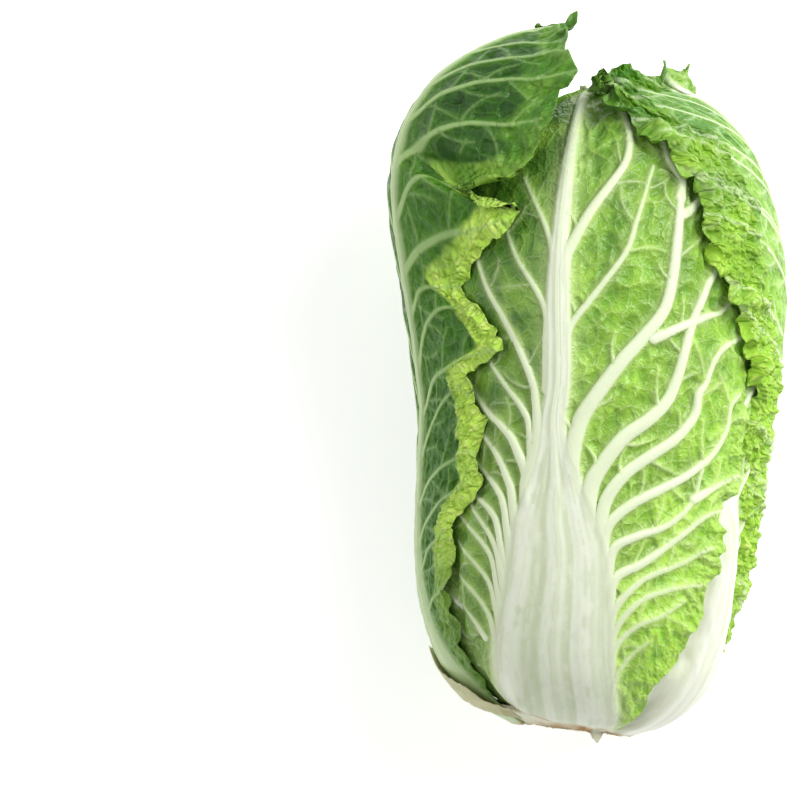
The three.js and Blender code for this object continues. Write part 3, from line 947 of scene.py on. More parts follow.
    def feathered_veins(self, chance: np.random.Generator) -> list[Vein]:
        """Grows side veins that leave the midrib on both sides and bend towards the tip.

        Args:
            chance: draws the random numbers.

        Returns:
            The veins.
        """
        veins = []
        end = HEAD.along(self.tip - 0.8)
        for side, margin in ((-1, self.left), (1, self.right)):
            along = HEAD.along(max(self.base, 2.5)) + self.feather * chance.uniform(0.1, 0.9)
            while along < end:
                station = HEAD.station(along)
                place = np.array([0.0, along])
                points = [place]
                lean = math.radians(chance.uniform(24, 34))
                for _ in range(22):
                    station = float(HEAD.station(place[1]))
                    width = abs(float(read_profile(margin, station) - read_profile(self.midrib, station)))
                    width *= math.radians(1) * float(HEAD.radius(station))
                    share = abs(place[0]) / max(width, 1.0)
                    if share > 0.93 or place[1] > end + 8:
                        break
                    stray = math.radians(chance.uniform(-7, 7))
                    turn = lean + math.radians(38) * min(share * 1.6, 1.0) + stray
                    place = place + self.VEIN_STEP * np.array([side * math.sin(turn), math.cos(turn)])
                    points.append(place)
                if len(points) > 2:
                    share = (along - HEAD.along(self.base)) / end
                    veins.append(Vein.through(np.array(points), 3.4 - 1.6 * share, 1.0))
                along += self.feather * chance.uniform(0.8, 1.25)
        return veins

    def stalk_band(self) -> tuple[Array, Array]:
        """Measures how the points of the leaf lie to its stalk.

        Returns:
            How far to the right of the stalk's middle each point lies, and half the stalk's width there.
        """
        if not self.stalk_line:
            return self.across, read_profile(self.stalk, self.station)
        rows = []
        for across, down, half in self.stalk_line:
            place = self.find(across, down)
            rows.append((place[1], place[0], half * PLAN.unit))
        rows.sort()
        middle = read_profile(tuple((a, c) for a, c, _ in rows), self.along)
        half = read_profile(tuple((a, h) for a, _, h in rows), self.along)
        return self.across - middle, half

    def shape_blade(self) -> None:
        """Raises the veins and stalk, and crinkles the blade between them."""
        wobble = self.wobble
        off, half = self.stalk_band()
        ribs = off / np.maximum(half, 1.0)
        strays = wobble.at(self.along / 16.0, 5.0) * np.minimum(half * 0.05, 0.8)
        outside = np.abs(off) + strays - half
        stalk = 1 - smoothstep(-0.5 * half - 1.0, 3.0, outside)
        tip_fade = smoothstep(2.0, 14.0, self.to_tip)
        self.stalk_mark = (1 - smoothstep(-0.14 * half - 0.8, 1.6, outside)) * tip_fade
        self.frill = self.frill * (1 - self.stalk_mark)
        relief = VeinRelief.of(self.grow_veins(), self.across, self.along)
        free = 1 - stalk
        side = smoothstep(-6, 6, self.across)
        blend = lambda pair: pair[0] + (pair[1] - pair[0]) * side
        height, width = blend(self.crinkle), blend(self.blister)
        hollow_and_painted_shade = self.blisters(width, relief, side)
        bulges = wobble.layered(self.across / 19 + 7, self.along / 19, 2)
        lean = 0.5 * np.abs(self.across)
        folds = np.abs(wobble.layered(self.across / 9 + 31, (self.along - lean) / 13, 3))
        folds = blend(self.crumple) * (1 - np.exp(-folds / 0.16)) * smoothstep(0.2, 3.0, relief.gap)
        bubble_edge, bubble, _ = Cells(self.seed + 40).at(self.across / self.BUBBLE, self.along / self.BUBBLE)
        bubbles = 1 - smoothstep(0.0, 0.42, bubble_edge) * (0.6 + 0.4 * bubble)
        bubbles = bubbles * self.frill * self.BUBBLE_HEIGHT
        stray = self.LUMP * 0.25 * wobble.layered(self.across / 12 + 80, self.along / 12, 2)
        lump_edge, lump, _ = Cells(self.seed + 60).at(
            (self.across + stray) / self.LUMP, (self.along - stray) / self.LUMP
        )
        # the clefts between lumps sink the margin and are also painted in shade
        cleft_depth_and_painted_shade = (1 - smoothstep(0.0, 0.5, lump_edge) * (0.5 + 0.5 * lump)) * self.frill
        calm = smoothstep(0, 14, self.to_base) * free * (1 - 0.9 * self.stalk_mark)
        crease = self.CREASE * relief.crease_and_painted_shade * (1 - relief.mark)
        raised = self.frill * (0.8 * self.lumps + 0.6 * self.BUBBLE_HEIGHT + 0.7 * height)
        sink = calm * (height * (1 + self.frill) * hollow_and_painted_shade + 0.5 * bulges + folds + crease + bubbles)
        sink = sink + calm * (self.lumps * cleft_depth_and_painted_shade - raised * smoothstep(0.0, 4.0, self.to_margin))
        rib = 0.75 * wobble.at(ribs * 3.3 + 11, self.along / 190)
        rib = rib + 0.12 * wobble.at(ribs * 12 + 30, self.along / 120)
        rise = stalk * (self.RECESS + rib * np.minimum(half / 14, 1.0))
        rise = np.maximum(rise, relief.ridge) + 0.3 * stalk * relief.ridge
        rise = rise * smoothstep(0.0, 12.0, self.to_margin + 30.0 * (1 - smoothstep(0, 60, self.to_base)))
        _, _, out = self.directions()
        sheet = self.sheet - out * sink[..., None]
        self.sheet = sheet
        _, _, out = self.directions()
        swell = self.thickness(self.station, self.degrees) - self.RECESS - self.BLADE - self.rough
        full = smoothstep(0, 9, self.to_margin)
        thin = self.EDGE + (self.BLADE - self.EDGE) * full + swell * smoothstep(0, 12, self.to_margin)
        self.level = rise - sink
        self.outer = sheet + out * rise[..., None]
        self.inner = sheet - out * thin[..., None]
        halo = relief.strength * np.exp(-np.clip(relief.gap, 0, None) / 1.6)
        fresh = 1 - self.greening * smoothstep(9.0, 14.0, self.station)
        # painted shade: the blade is coloured darker in its hollows and folds, in the clefts of a frilled
        # margin and beside thick veins
        painted_shade_depth = np.clip(0.8 * hollow_and_painted_shade + 0.5 * folds / max(*self.crumple, 0.1), 0, 1.3)
        self.marks = {
            "vein_gap": relief.gap,
            "vein_strength": relief.strength * (1 - 0.3 * self.frill) * fresh,
            "stalk": self.stalk_mark * fresh,
            "frill": self.frill,
            "hollow_and_painted_shade": painted_shade_depth * free * (1 - self.frill),
            "painted_cleft_shade": cleft_depth_and_painted_shade,
            "crease_and_painted_shade": relief.crease_and_painted_shade * free * (1 - relief.mark),
            "tone_and_painted_light": blend([read_profile(pairs, self.station) for pairs in self.tone_and_painted_light]),
            "pale": np.maximum(np.exp(-np.clip(np.abs(off) - half, 0, None) / 4.0) * tip_fade, halo),
            "cut": 1 - smoothstep(0.4, 2.2, self.to_base + 0.8 * wobble.at(self.across / 4)),
            "rib": ribs,
        }

    def blisters(self, width: Array, relief: VeinRelief, side: Array) -> Array:
        """Works out the hollows between the small veins.

        Args:
            width: how wide a hollow is at each point.
            relief: the leaf's side veins, which also bound the hollows.
            side: 0 left of the midrib and 1 right of it.

        Returns:
            Their depth at each point, from 0 to about 1.
        """
        sway = [2.5 * self.wobble.layered(self.across / 14 + start, self.along / 14, 2) for start in (0, 50)]
        left, right = self.blister
        depth = np.zeros_like(width)
        for number, size in enumerate(sorted({left, right})):
            share = 1.0 if left == right else np.clip(1 - np.abs(width - size) / abs(left - right), 0, 1)
            cells = Cells(self.seed + 2 + number)
            edge, value, lean = cells.at(
                (self.across + sway[0]) / size, (self.along + sway[1]) / (1.3 * size)
            )
            edge = np.minimum(edge, np.maximum(relief.gap, 0) / size * 0.8 + 0.02)
            depth += share * smoothstep(0.0, 0.4, edge) * (0.45 + 0.5 * value + 1.0 * lean)
        return depth

    def build(self, laid: LaidLeaves, placement: Placement) -> bpy.types.Object:
        """Makes the leaf and lays it on the head.

        Args:
            laid: the leaves already on the head, which this one is added to.
            placement: where the head lies.

        Returns:
            The finished piece, dressed and riding on the body.
        """
        self.lay_out(laid)
        laid.lay(self)
        self.roll_margins()
        self.shape_blade()
        for face in (self.outer, self.inner):
            face[..., 2] = np.maximum(face[..., 2], -HEAD.flat_depth)
        piece = sheet_mesh(self.node + "_blade", self.outer, self.inner, self.level, placement)
        mm = np.stack([self.across, self.along, np.zeros_like(self.across)], -1)
        write_marks(piece.data, {**self.marks, "leaf_mm": mm}, SHEET_STEPS)
        return stand_in(piece, self.node, self.finish)


SHEET_STEPS = (1, 2)  # every how many rows and columns a sheet's outer and inner face keep


def sheet_mesh(name: str, outer: Array, inner: Array, level: Array, placement: Placement) -> bpy.types.Object:
    """Makes one closed sheet from two grids of points, hemmed round the edge, with a flat map for baking.

    The inner face keeps every second row and column, because it is hardly seen.

    Args:
        name: the piece's name.
        outer, inner: its two faces, in an odd number of rows and of columns.
        level: a value at each point; each cell is cut between its two most alike opposite corners, so that a
            narrow ridge isn't broken into steps.
        placement: where the head lies.

    Returns:
        The new object, smooth shaded and linked to the scene.
    """
    front, front_rim = grid_faces(level, 0)
    back, back_rim = grid_faces(level[::2, ::2], level.size)
    first, middle, last = front_rim[::2], front_rim[1::2], np.roll(front_rim, -2)[::2]
    near, far = back_rim, np.roll(back_rim, -1)
    hem = np.concatenate([
        np.stack(corners, -1) for corners in ((middle, first, near), (middle, near, far), (last, middle, far))
    ])
    faces = np.concatenate([front, back[:, ::-1], hem])
    points = np.concatenate([outer.reshape(-1, 3), inner[::2, ::2].reshape(-1, 3)])
    flat = np.stack(np.meshgrid(*(np.linspace(0, 1, n) for n in level.shape), indexing="ij"), -1)
    coarse = flat[::2, ::2].reshape(-1, 2)
    front_map = flat.reshape(-1, 2) * [0.98, 0.58] + 0.01
    back_map = coarse * [0.98, 0.34] + [0.01, 0.62]
    by_corner = np.concatenate([front_map, back_map])[faces]
    step = 0.98 / len(near)
    along = 0.01 + step * np.arange(len(near))
    low, high = np.full(len(near), 0.975), np.full(len(near), 0.99)
    corner = lambda shift, row: np.stack([along + shift * step, row], -1)
    start, half_way, end = corner(0.0, low), corner(0.5, low), corner(1.0, low)
    start_in, end_in = corner(0.0, high), corner(1.0, high)
    by_corner[-len(hem):] = np.concatenate([
        np.stack(corners, 1)
        for corners in ((half_way, start, start_in), (half_way, start_in, end_in), (end, half_way, end_in))
    ])
    return mesh_object(name, placement.metres(points), faces, by_corner)


def grid_faces(level: Array, first: int) -> tuple[Array, Array]:
    """Fills a grid of points with triangles.

    Args:
        level: a value at each point, as for sheet_mesh.
        first: the number of its first point.

    Returns:
        The triangles, and the loop of points round the grid.
    """
    index = first + np.arange(level.size).reshape(level.shape)
    corners = index[:-1, :-1], index[:-1, 1:], index[1:, 1:], index[1:, :-1]
    at = [level.ravel()[c.ravel() - first] for c in corners]
    one, two, three, four = (c.ravel() for c in corners)
    straight = (np.abs(at[0] - at[2]) <= np.abs(at[1] - at[3]))[:, None]
    lower = np.where(straight, np.stack([one, two, three], -1), np.stack([one, two, four], -1))
    upper = np.where(straight, np.stack([one, three, four], -1), np.stack([two, three, four], -1))
    rim = np.concatenate([index[0, :], index[1:, -1], index[-1, -2::-1], index[-2:0:-1, 0]])
    return np.concatenate([lower, upper]), rim


def mesh_object(name: str, points: Array, faces: Array, flat_map: Array | None = None) -> bpy.types.Object:
    """Makes a smooth-shaded object.

    Args:
        name: its name.
        points: its points, in metres.
        faces: the points of each face; all faces have as many sides.
        flat_map: where each face's corners lie on a flat map for baking, if it has one.

    Returns:
        The object, linked to the scene.
    """
    mesh = bpy.data.meshes.new(name)
    mesh.vertices.add(len(points))
    mesh.vertices.foreach_set("co", points.astype(np.float32).ravel())
    mesh.loops.add(faces.size)
    mesh.loops.foreach_set("vertex_index", faces.astype(np.int32).ravel())
    mesh.polygons.add(len(faces))
    mesh.polygons.foreach_set("loop_start", np.arange(0, faces.size, faces.shape[1], dtype=np.int32))
    mesh.update(calc_edges=True)
    mesh.polygons.foreach_set("use_smooth", np.ones(len(faces), bool))
    if flat_map is not None:
        layer = mesh.uv_layers.new(name="OFBake")
        layer.uv.foreach_set("vector", flat_map.astype(np.float32).ravel())
    mesh.validate()
    piece = bpy.data.objects.new(name, mesh)
    bpy.context.scene.collection.objects.link(piece)
    return piece


def write_marks(mesh: bpy.types.Mesh, marks: dict[str, Array], steps: tuple[int, ...] = (1,)) -> None:
    """Stores a value or a vector at each point of a mesh whose points lie in grids.

    Args:
        mesh: the mesh.
        marks: the values under each name, at the points of the finest grid.
        steps: for each of the mesh's grids, every how many rows and columns of the finest one it keeps.
    """
    for name, grid in marks.items():
        is_vector = grid.ndim == 3
        stored = mesh.attributes.new(name, "FLOAT_VECTOR" if is_vector else "FLOAT", "POINT")
        values = np.concatenate([grid[::step, ::step].ravel() for step in steps])
        stored.data.foreach_set("vector" if is_vector else "value", values.astype(np.float32))


def stand_in(piece: bpy.types.Object, node: str, finish: "Finish") -> bpy.types.Object:
    """Dresses a piece, and lets it stand for a CAD node and ride on the body.

    Args:
        piece: the piece.
        node: the node.
        finish: what the piece is dressed in.

    Returns:
        The piece.
    """
    piece.data.materials.append(finish.material())
    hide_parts(node)
    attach(piece, "root")
    return piece


# ------------------------------------------------------------------ finishes

Adder = Callable[..., bpy.types.NodeSocket]  # adds a node to one material, as add_node does

# Settings of the nodes that the finishes use most.
ADD, MULTIPLY = {"operation": "ADD"}, {"operation": "MULTIPLY"}
ADD_CLAMPED, MULTIPLY_CLAMPED = {**ADD, "use_clamp": True}, {**MULTIPLY, "use_clamp": True}
FROM_ONE = {"operation": "SUBTRACT", "use_clamp": True}
SMOOTH = {"interpolation_type": "SMOOTHSTEP"}
COLOURS = {"data_type": "RGBA"}
MIXED = 2  # number of a Mix node's output of colour; its inputs are 0 for the share, 6 and 7 for the colours


def linear(hex_colour: str) -> tuple[float, float, float, float]:
    """Turns an sRGB hex value to the linear colour that Blender mixes.

    Args:
        hex_colour: such as #86c638.

    Returns:
        Red, green and blue, and 1 for opaque.
    """
    parts = [int(hex_colour[i : i + 2], 16) / 255 for i in (1, 3, 5)]
    made = [c / 12.92 if c <= 0.04045 else ((c + 0.055) / 1.055) ** 2.4 for c in parts]
    return made[0], made[1], made[2], 1.0


def feed(node: bpy.types.Node, values: dict[Any, Any] | tuple[Any, ...]) -> None:
    """Fills inputs of a node.

    Args:
        node: the node.
        values: for each input, by name or number or in their order, a value, a hex colour or an output.
    """
    for place, value in values.items() if isinstance(values, dict) else enumerate(values):
        if isinstance(value, bpy.types.NodeSocket):
            node.id_data.links.new(value, node.inputs[place])
        else:
            node.inputs[place].default_value = linear(value) if isinstance(value, str) else value


def add_node(
    tree: bpy.types.NodeTree, kind: str, values: dict[Any, Any] | tuple[Any, ...], output: int | str = 0,
    **settings: Any,
) -> bpy.types.NodeSocket:
    """Adds one node with its settings and links.

    Args:
        tree: the material's nodes.
        kind: Blender's name for the node, without "ShaderNode".
        values: what its inputs hold, as feed takes them.
        output: name or number of the output that is wanted.
        **settings: the node's own settings.

    Returns:
        That output.
    """
    node = tree.nodes.new("ShaderNode" + kind)
    for name, setting in settings.items():
        setattr(node, name, setting)
    feed(node, values)
    return node.outputs[output]


class Finish:
    """What all finishes share: each makes its material once and lends it to every piece that asks."""

    name: str

    def material(self) -> bpy.types.Material:
        """Makes the material, or returns it if another piece already uses it.

        Returns:
            The material.
        """
        if self.name in bpy.data.materials:
            return bpy.data.materials[self.name]
        material = bpy.data.materials.new(self.name)
        material.use_nodes = True
        tree = material.node_tree
        feed(tree.nodes["Principled BSDF"], self.surface(partial(add_node, tree)))
        return material

    def surface(self, add: Adder) -> dict[str, Any]:
        """What the inputs of the material's surface hold."""
        raise NotImplementedError


@dataclass(frozen=True)
class LeafPatterns:
    """What a leaf's colour and its relief are both made from, as outputs of nodes.

    Attributes:
        mark: the leaf's marks, by name.
        patches: large, soft patches.
        wax: the finest unevenness of its wax.
        net, fine: millimetres to the nearest of the small veins, and of the finest ones.
        bubbles: the blisters on a frilled margin.
    """

    mark: dict[str, bpy.types.NodeSocket]
    patches: bpy.types.NodeSocket
    wax: bpy.types.NodeSocket
    net: bpy.types.NodeSocket
    fine: bpy.types.NodeSocket
    bubbles: bpy.types.NodeSocket


@dataclass(frozen=True)
class LeafFinish(Finish):
    """Living cabbage leaf: a waxy, watery blade over pale, smooth veins.

    The wax gives a soft, broad shine, and the watery flesh lets light spread a millimetre or two, which keeps
    the shadows green. The blade is paler along its veins. It is painted darker in its hollows and clefts
    and beside thick veins, as painted shade, and its tone adds painted light and shade.
    """

    name: str
    deep: str
    bright: str
    # painted shade: the blade's colour in its hollows, at high and at low tone
    hollow_and_painted_shade: str
    deep_hollow_and_painted_shade: str
    # painted shade: colour of the band on the left side of thick veins, away from the light
    crease_and_painted_shade: str
    frill: str
    # painted shade: the frill's colour in its clefts and between its blisters
    frill_painted_shade: str
    # the frill's colour where the tone is low; partly painted shade
    frill_shade: str = "#3f7a14"
    net: str = "#dff0b4"
    net_deep: str = "#9cc070"
    vein: str = "#f0f7dc"
    stalk: str = "#f6f9e9"
    stalk_shade: str = "#d5dcba"
    tan: str = "#c9ab78"
    roughness: float = 0.36
    ior: float = 1.4
    flesh: float = 0.12
    net_cell: float = 8.5  # width in millimetres of the cells between small veins
    net_depth: float = 0.9  # and their depth
    fine_cell: float = 2.8  # width in millimetres of the finest cells
    fine_depth: float = 0.2
    net_strength: float = 0.55
    mottle: float = 16.0  # width in millimetres of the patches of colour
    speckle: float = 1.6  # and of the finest unevenness of its wax
    bend: float = 6.0  # width in millimetres of the bends in the nets of small veins
    bend_reach: float = 5.0  # and how far they go
    bubble: float = 2.3  # width in millimetres of the finest blisters on a frilled margin

    SLOPE = 0.3  # share of a cell's width over which its hollow falls from its edge
    MARKS = (
        "vein_gap", "vein_strength", "stalk", "frill", "hollow_and_painted_shade", "painted_cleft_shade", "crease_and_painted_shade", "tone_and_painted_light", "pale", "cut", "rib",
    )

    def surface(self, add: Adder) -> dict[str, Any]:
        """Works out what the inputs of the surface hold.

        Args:
            add: adds a node to the material.

        Returns:
            A value or a socket for each input.
        """
        on = self.patterns(add)
        dulled = add("MapRange", (on.wax, 0.3, 0.7, -0.06, 0.06), **SMOOTH)
        return {
            "Base Color": self.colour(add, on),
            "Roughness": add("Math", (dulled, self.roughness), **ADD),
            "Normal": self.relief(add, on),
            "IOR": self.ior,
            "Subsurface Weight": self.flesh,
            "Subsurface Radius": (0.7, 1.0, 0.25),
            "Subsurface Scale": 2.0 * METRES,
        }

    def patterns(self, add: Adder) -> LeafPatterns:
        """Draws the leaf's patterns, in millimetres over the leaf.

        Args:
            add: adds a node to the material.

        Returns:
            The patterns.
        """
        mark = {name: add("Attribute", {}, "Fac", attribute_name=name) for name in self.MARKS}
        where = add("Attribute", {}, "Vector", attribute_name="leaf_mm")
        patches = add("TexNoise", {"Vector": where, "Scale": 1 / self.mottle, "Detail": 4.0})
        wax = add("TexNoise", {"Vector": where, "Scale": 1 / self.speckle, "Detail": 2.0})
        bends = add("TexNoise", {"Vector": where, "Scale": 1 / self.bend, "Detail": 2.0}, "Color")
        bends = add("VectorMath", {0: bends, "Scale": self.bend_reach}, operation="SCALE")
        bent = add("VectorMath", (where, bends), operation="ADD")
        nets = []
        for cell in (self.net_cell, self.fine_cell):
            to_line = add(
                "TexVoronoi", {"Vector": bent, "Scale": 1 / cell}, "Distance", feature="DISTANCE_TO_EDGE",
                voronoi_dimensions="2D",
            )
            nets.append(add("Math", (to_line, cell), **MULTIPLY))
        blisters = add(
            "TexVoronoi", {"Vector": where, "Scale": 1 / self.bubble, "Smoothness": 0.35}, "Distance",
            feature="SMOOTH_F1", voronoi_dimensions="2D",
        )
        blisters = add("MapRange", (blisters, 0.15, 0.62, 1.0, 0.0), **SMOOTH)
        return LeafPatterns(
            mark, patches, wax, *nets, bubbles=add("Math", (blisters, mark["frill"]), **MULTIPLY)
        )

    def colour(self, add: Adder, on: LeafPatterns) -> bpy.types.NodeSocket:
        """Lays the leaf's colours over each other, from its blade up to its veins and stalk.

        Args:
            add: adds a node to the material.
            on: the leaf's patterns.

        Returns:
            The surface's colour.
        """
        mark = on.mark
        strays = add("MapRange", (on.patches, 0.3, 0.7, -0.25, 0.25), **SMOOTH)
        # lightness of the blade: partly its own colour and partly painted light and shade
        tone_and_painted_light = add("Math", (mark["tone_and_painted_light"], strays), **ADD_CLAMPED)
        blade, hollow_and_painted_shade, net = (
            add("Mix", {0: tone_and_painted_light, 6: deep, 7: bright}, MIXED, **COLOURS)
            for deep, bright in (
                (self.deep, self.bright), (self.deep_hollow_and_painted_shade, self.hollow_and_painted_shade), (self.net_deep, self.net),
            )
        )
        in_hollow_and_painted_shade = add("Math", (mark["hollow_and_painted_shade"], 0.75), **MULTIPLY_CLAMPED)
        in_painted_cleft_shade = add("Math", (mark["painted_cleft_shade"], 0.9), **MULTIPLY_CLAMPED)
        frill = add("Mix", {0: on.bubbles, 6: self.frill_painted_shade, 7: self.frill}, MIXED, **COLOURS)
        frill = add("Mix", {0: in_painted_cleft_shade, 6: frill, 7: self.frill_painted_shade}, MIXED, **COLOURS)
        frill = add("Mix", {0: tone_and_painted_light, 6: self.frill_shade, 7: frill}, MIXED, **COLOURS)

        on_net = add("MapRange", (on.net, 0.06, 0.5, 1.0, 0.0), **SMOOTH)
        on_fine = add("MapRange", (on.fine, 0.05, 0.26, 1.0, 0.0), **SMOOTH)
        netted = add("Math", (add("Math", (1.0, mark["frill"]), **FROM_ONE), self.net_strength), **MULTIPLY)
        on_net = add("Math", (on_net, netted), **MULTIPLY)
        on_fine = add("Math", (on_fine, add("Math", (netted, 0.4), **MULTIPLY)), **MULTIPLY)
        beside_vein = add("Math", (mark["pale"], 0.6), **MULTIPLY)
        on_vein = add("MapRange", (mark["vein_gap"], -0.45, 0.6, 1.0, 0.0), **SMOOTH)
        on_vein = add("Math", (on_vein, mark["vein_strength"]), **MULTIPLY)

        across = add("Math", (mark["rib"], 4.0), **MULTIPLY)
        along = add("Math", (on.patches, 1.5), **MULTIPLY)
        streaks = add("CombineXYZ", (across, along))
        streaks = add("TexNoise", {"Vector": streaks, "Scale": 1.0, "Detail": 3.0})
        streaks = add("MapRange", (streaks, 0.35, 0.7, 0.0, 0.8), **SMOOTH)
        stalk = add("Mix", {0: streaks, 6: self.stalk, 7: self.stalk_shade}, MIXED, **COLOURS)

        # the coats for hollows, for the crease beside thick veins and for frill clefts are painted shade
        colour = blade
        for share, coat in (
            (in_hollow_and_painted_shade, hollow_and_painted_shade), (mark["crease_and_painted_shade"], self.crease_and_painted_shade), (mark["frill"], frill), (on_fine, net),
            (on_net, net), (beside_vein, self.net), (on_vein, self.vein), (mark["stalk"], stalk),
            (mark["cut"], self.tan),
        ):
            colour = add("Mix", {0: share, 6: colour, 7: coat}, MIXED, **COLOURS)
        return colour

    def relief(self, add: Adder, on: LeafPatterns) -> bpy.types.NodeSocket:
        """Sinks the blade between the small veins and raises blisters and specks, but leaves veins smooth.

        Args:
            add: adds a node to the material.
            on: the leaf's patterns.

        Returns:
            The surface's normal.
        """
        mark = on.mark
        on_vein = add("MapRange", (mark["vein_gap"], -0.3, 1.2, 1.0, 0.0), **SMOOTH)
        on_vein = add("Math", (on_vein, mark["vein_strength"]), **MULTIPLY)
        smooth = add("Math", (on_vein, mark["stalk"]), operation="MAXIMUM")
        rough = add("Math", (1.0, smooth), **FROM_ONE)
        hollows = add("Math", tuple(
            add("MapRange", (to_line, 0.0, self.SLOPE * cell, 0.0, -depth), **SMOOTH)
            for to_line, cell, depth in (
                (on.net, self.net_cell, self.net_depth), (on.fine, self.fine_cell, self.fine_depth),
            )
        ), **ADD)
        height = 0.0
        for level, scale in ((hollows, rough), (on.wax, 0.1), (on.bubbles, 1.3)):
            height = add("Math", (level, scale, height), operation="MULTIPLY_ADD")
        return add("Bump", {"Height": height, "Strength": 0.75, "Distance": METRES})


FRONT_FINISH = LeafFinish(
    "waxy_front_leaf", deep="#43721c", bright="#b6e552", hollow_and_painted_shade="#86c638", deep_hollow_and_painted_shade="#467a20",
    crease_and_painted_shade="#78a336", frill="#d6f48c", frill_painted_shade="#a8d852", frill_shade="#78ae38", net="#dcefaa",
    net_deep="#7ea44e", vein="#e8f3cf", stalk="#f4fae5", stalk_shade="#c8d4aa", roughness=0.33,
    net_depth=0.45, net_strength=0.42,
)
# painted light: its frill colours are lighter than its own green, to light the rolled margin that faces away
# from the key light
DARK_FINISH = LeafFinish(
    "waxy_dark_outer_leaf", deep="#194804", bright="#407510", hollow_and_painted_shade="#265e07", deep_hollow_and_painted_shade="#133b03",
    crease_and_painted_shade="#1e4706", frill="#f0ff94", frill_painted_shade="#c6f25a", frill_shade="#64a42c", net="#6c9f36",
    net_deep="#487c28", vein="#b2cf8a", stalk="#c5daa4", stalk_shade="#9cb87c", roughness=0.42,
    net_cell=6.5, net_depth=0.8, net_strength=0.3,
)
# painted light: its frill colours are lighter than its own green, to light the margin strip that lies in
# shade low down
BACK_RIGHT_FINISH = LeafFinish(
    "waxy_frilled_leaf", deep="#458418", bright="#a0d24c", hollow_and_painted_shade="#7ab22e", deep_hollow_and_painted_shade="#306a0f",
    crease_and_painted_shade="#6ea630", frill="#d4f66c", frill_painted_shade="#a0d23c", frill_shade="#3c7a0e", net="#c0e088",
    net_depth=0.5,
)
PALE_FINISH = LeafFinish(
    "waxy_pale_leaf", deep="#86bb48", bright="#bfe37e", hollow_and_painted_shade="#9fce60", deep_hollow_and_painted_shade="#6ea136",
    crease_and_painted_shade="#9cc45a", frill="#c9ea80", frill_painted_shade="#9ccc4c", frill_shade="#86b83c", net_depth=0.5,
)
HEART_FINISH = LeafFinish(
    "tender_heart_leaf", deep="#b0d060", bright="#e6eeb0", hollow_and_painted_shade="#cfe08a", deep_hollow_and_painted_shade="#a9c95c",
    crease_and_painted_shade="#c4d97c", frill="#e9efac", frill_painted_shade="#cfe084", net="#eef2c8", vein="#f6f8e4",
    stalk="#fafaf0", stalk_shade="#eef0dc", tan="#dccb9c",
)


@dataclass(frozen=True)
class TenderFinish(Finish):
    """Blanched inner leaf that hardly sees light: cream to pale yellow, and smooth and watery."""

    name: str = "blanched_inner_leaf"
    cream: str = "#f5f2cf"
    yellow: str = "#e3e59a"
    roughness: float = 0.4
    patch: float = 0.018  # metres across one patch of colour

    def surface(self, add: Adder) -> dict[str, Any]:
        """Works out what the inputs of the surface hold.

        Args:
            add: adds a node to the material.

        Returns:
            A value or a socket for each input.
        """
        where = add("TexCoord", {}, "Object")
        patches = add("TexNoise", {"Vector": where, "Scale": 1 / self.patch, "Detail": 5.0})
        colour = add("ValToRGB", (patches,))
        stops = colour.node.color_ramp.elements
        for stop, (place, shade) in zip(stops, ((0.35, self.yellow), (0.65, self.cream))):
            stop.position, stop.color = place, linear(shade)
        return {
            "Base Color": colour,
            "Normal": add("Bump", {"Height": patches, "Strength": 0.5, "Distance": METRES}),
            "Roughness": self.roughness,
            "IOR": 1.4,
            "Subsurface Weight": 0.2,
            "Subsurface Scale": 3 * METRES,
        }


# ------------------------------------------------------------------ the outer leaves, from the outside in

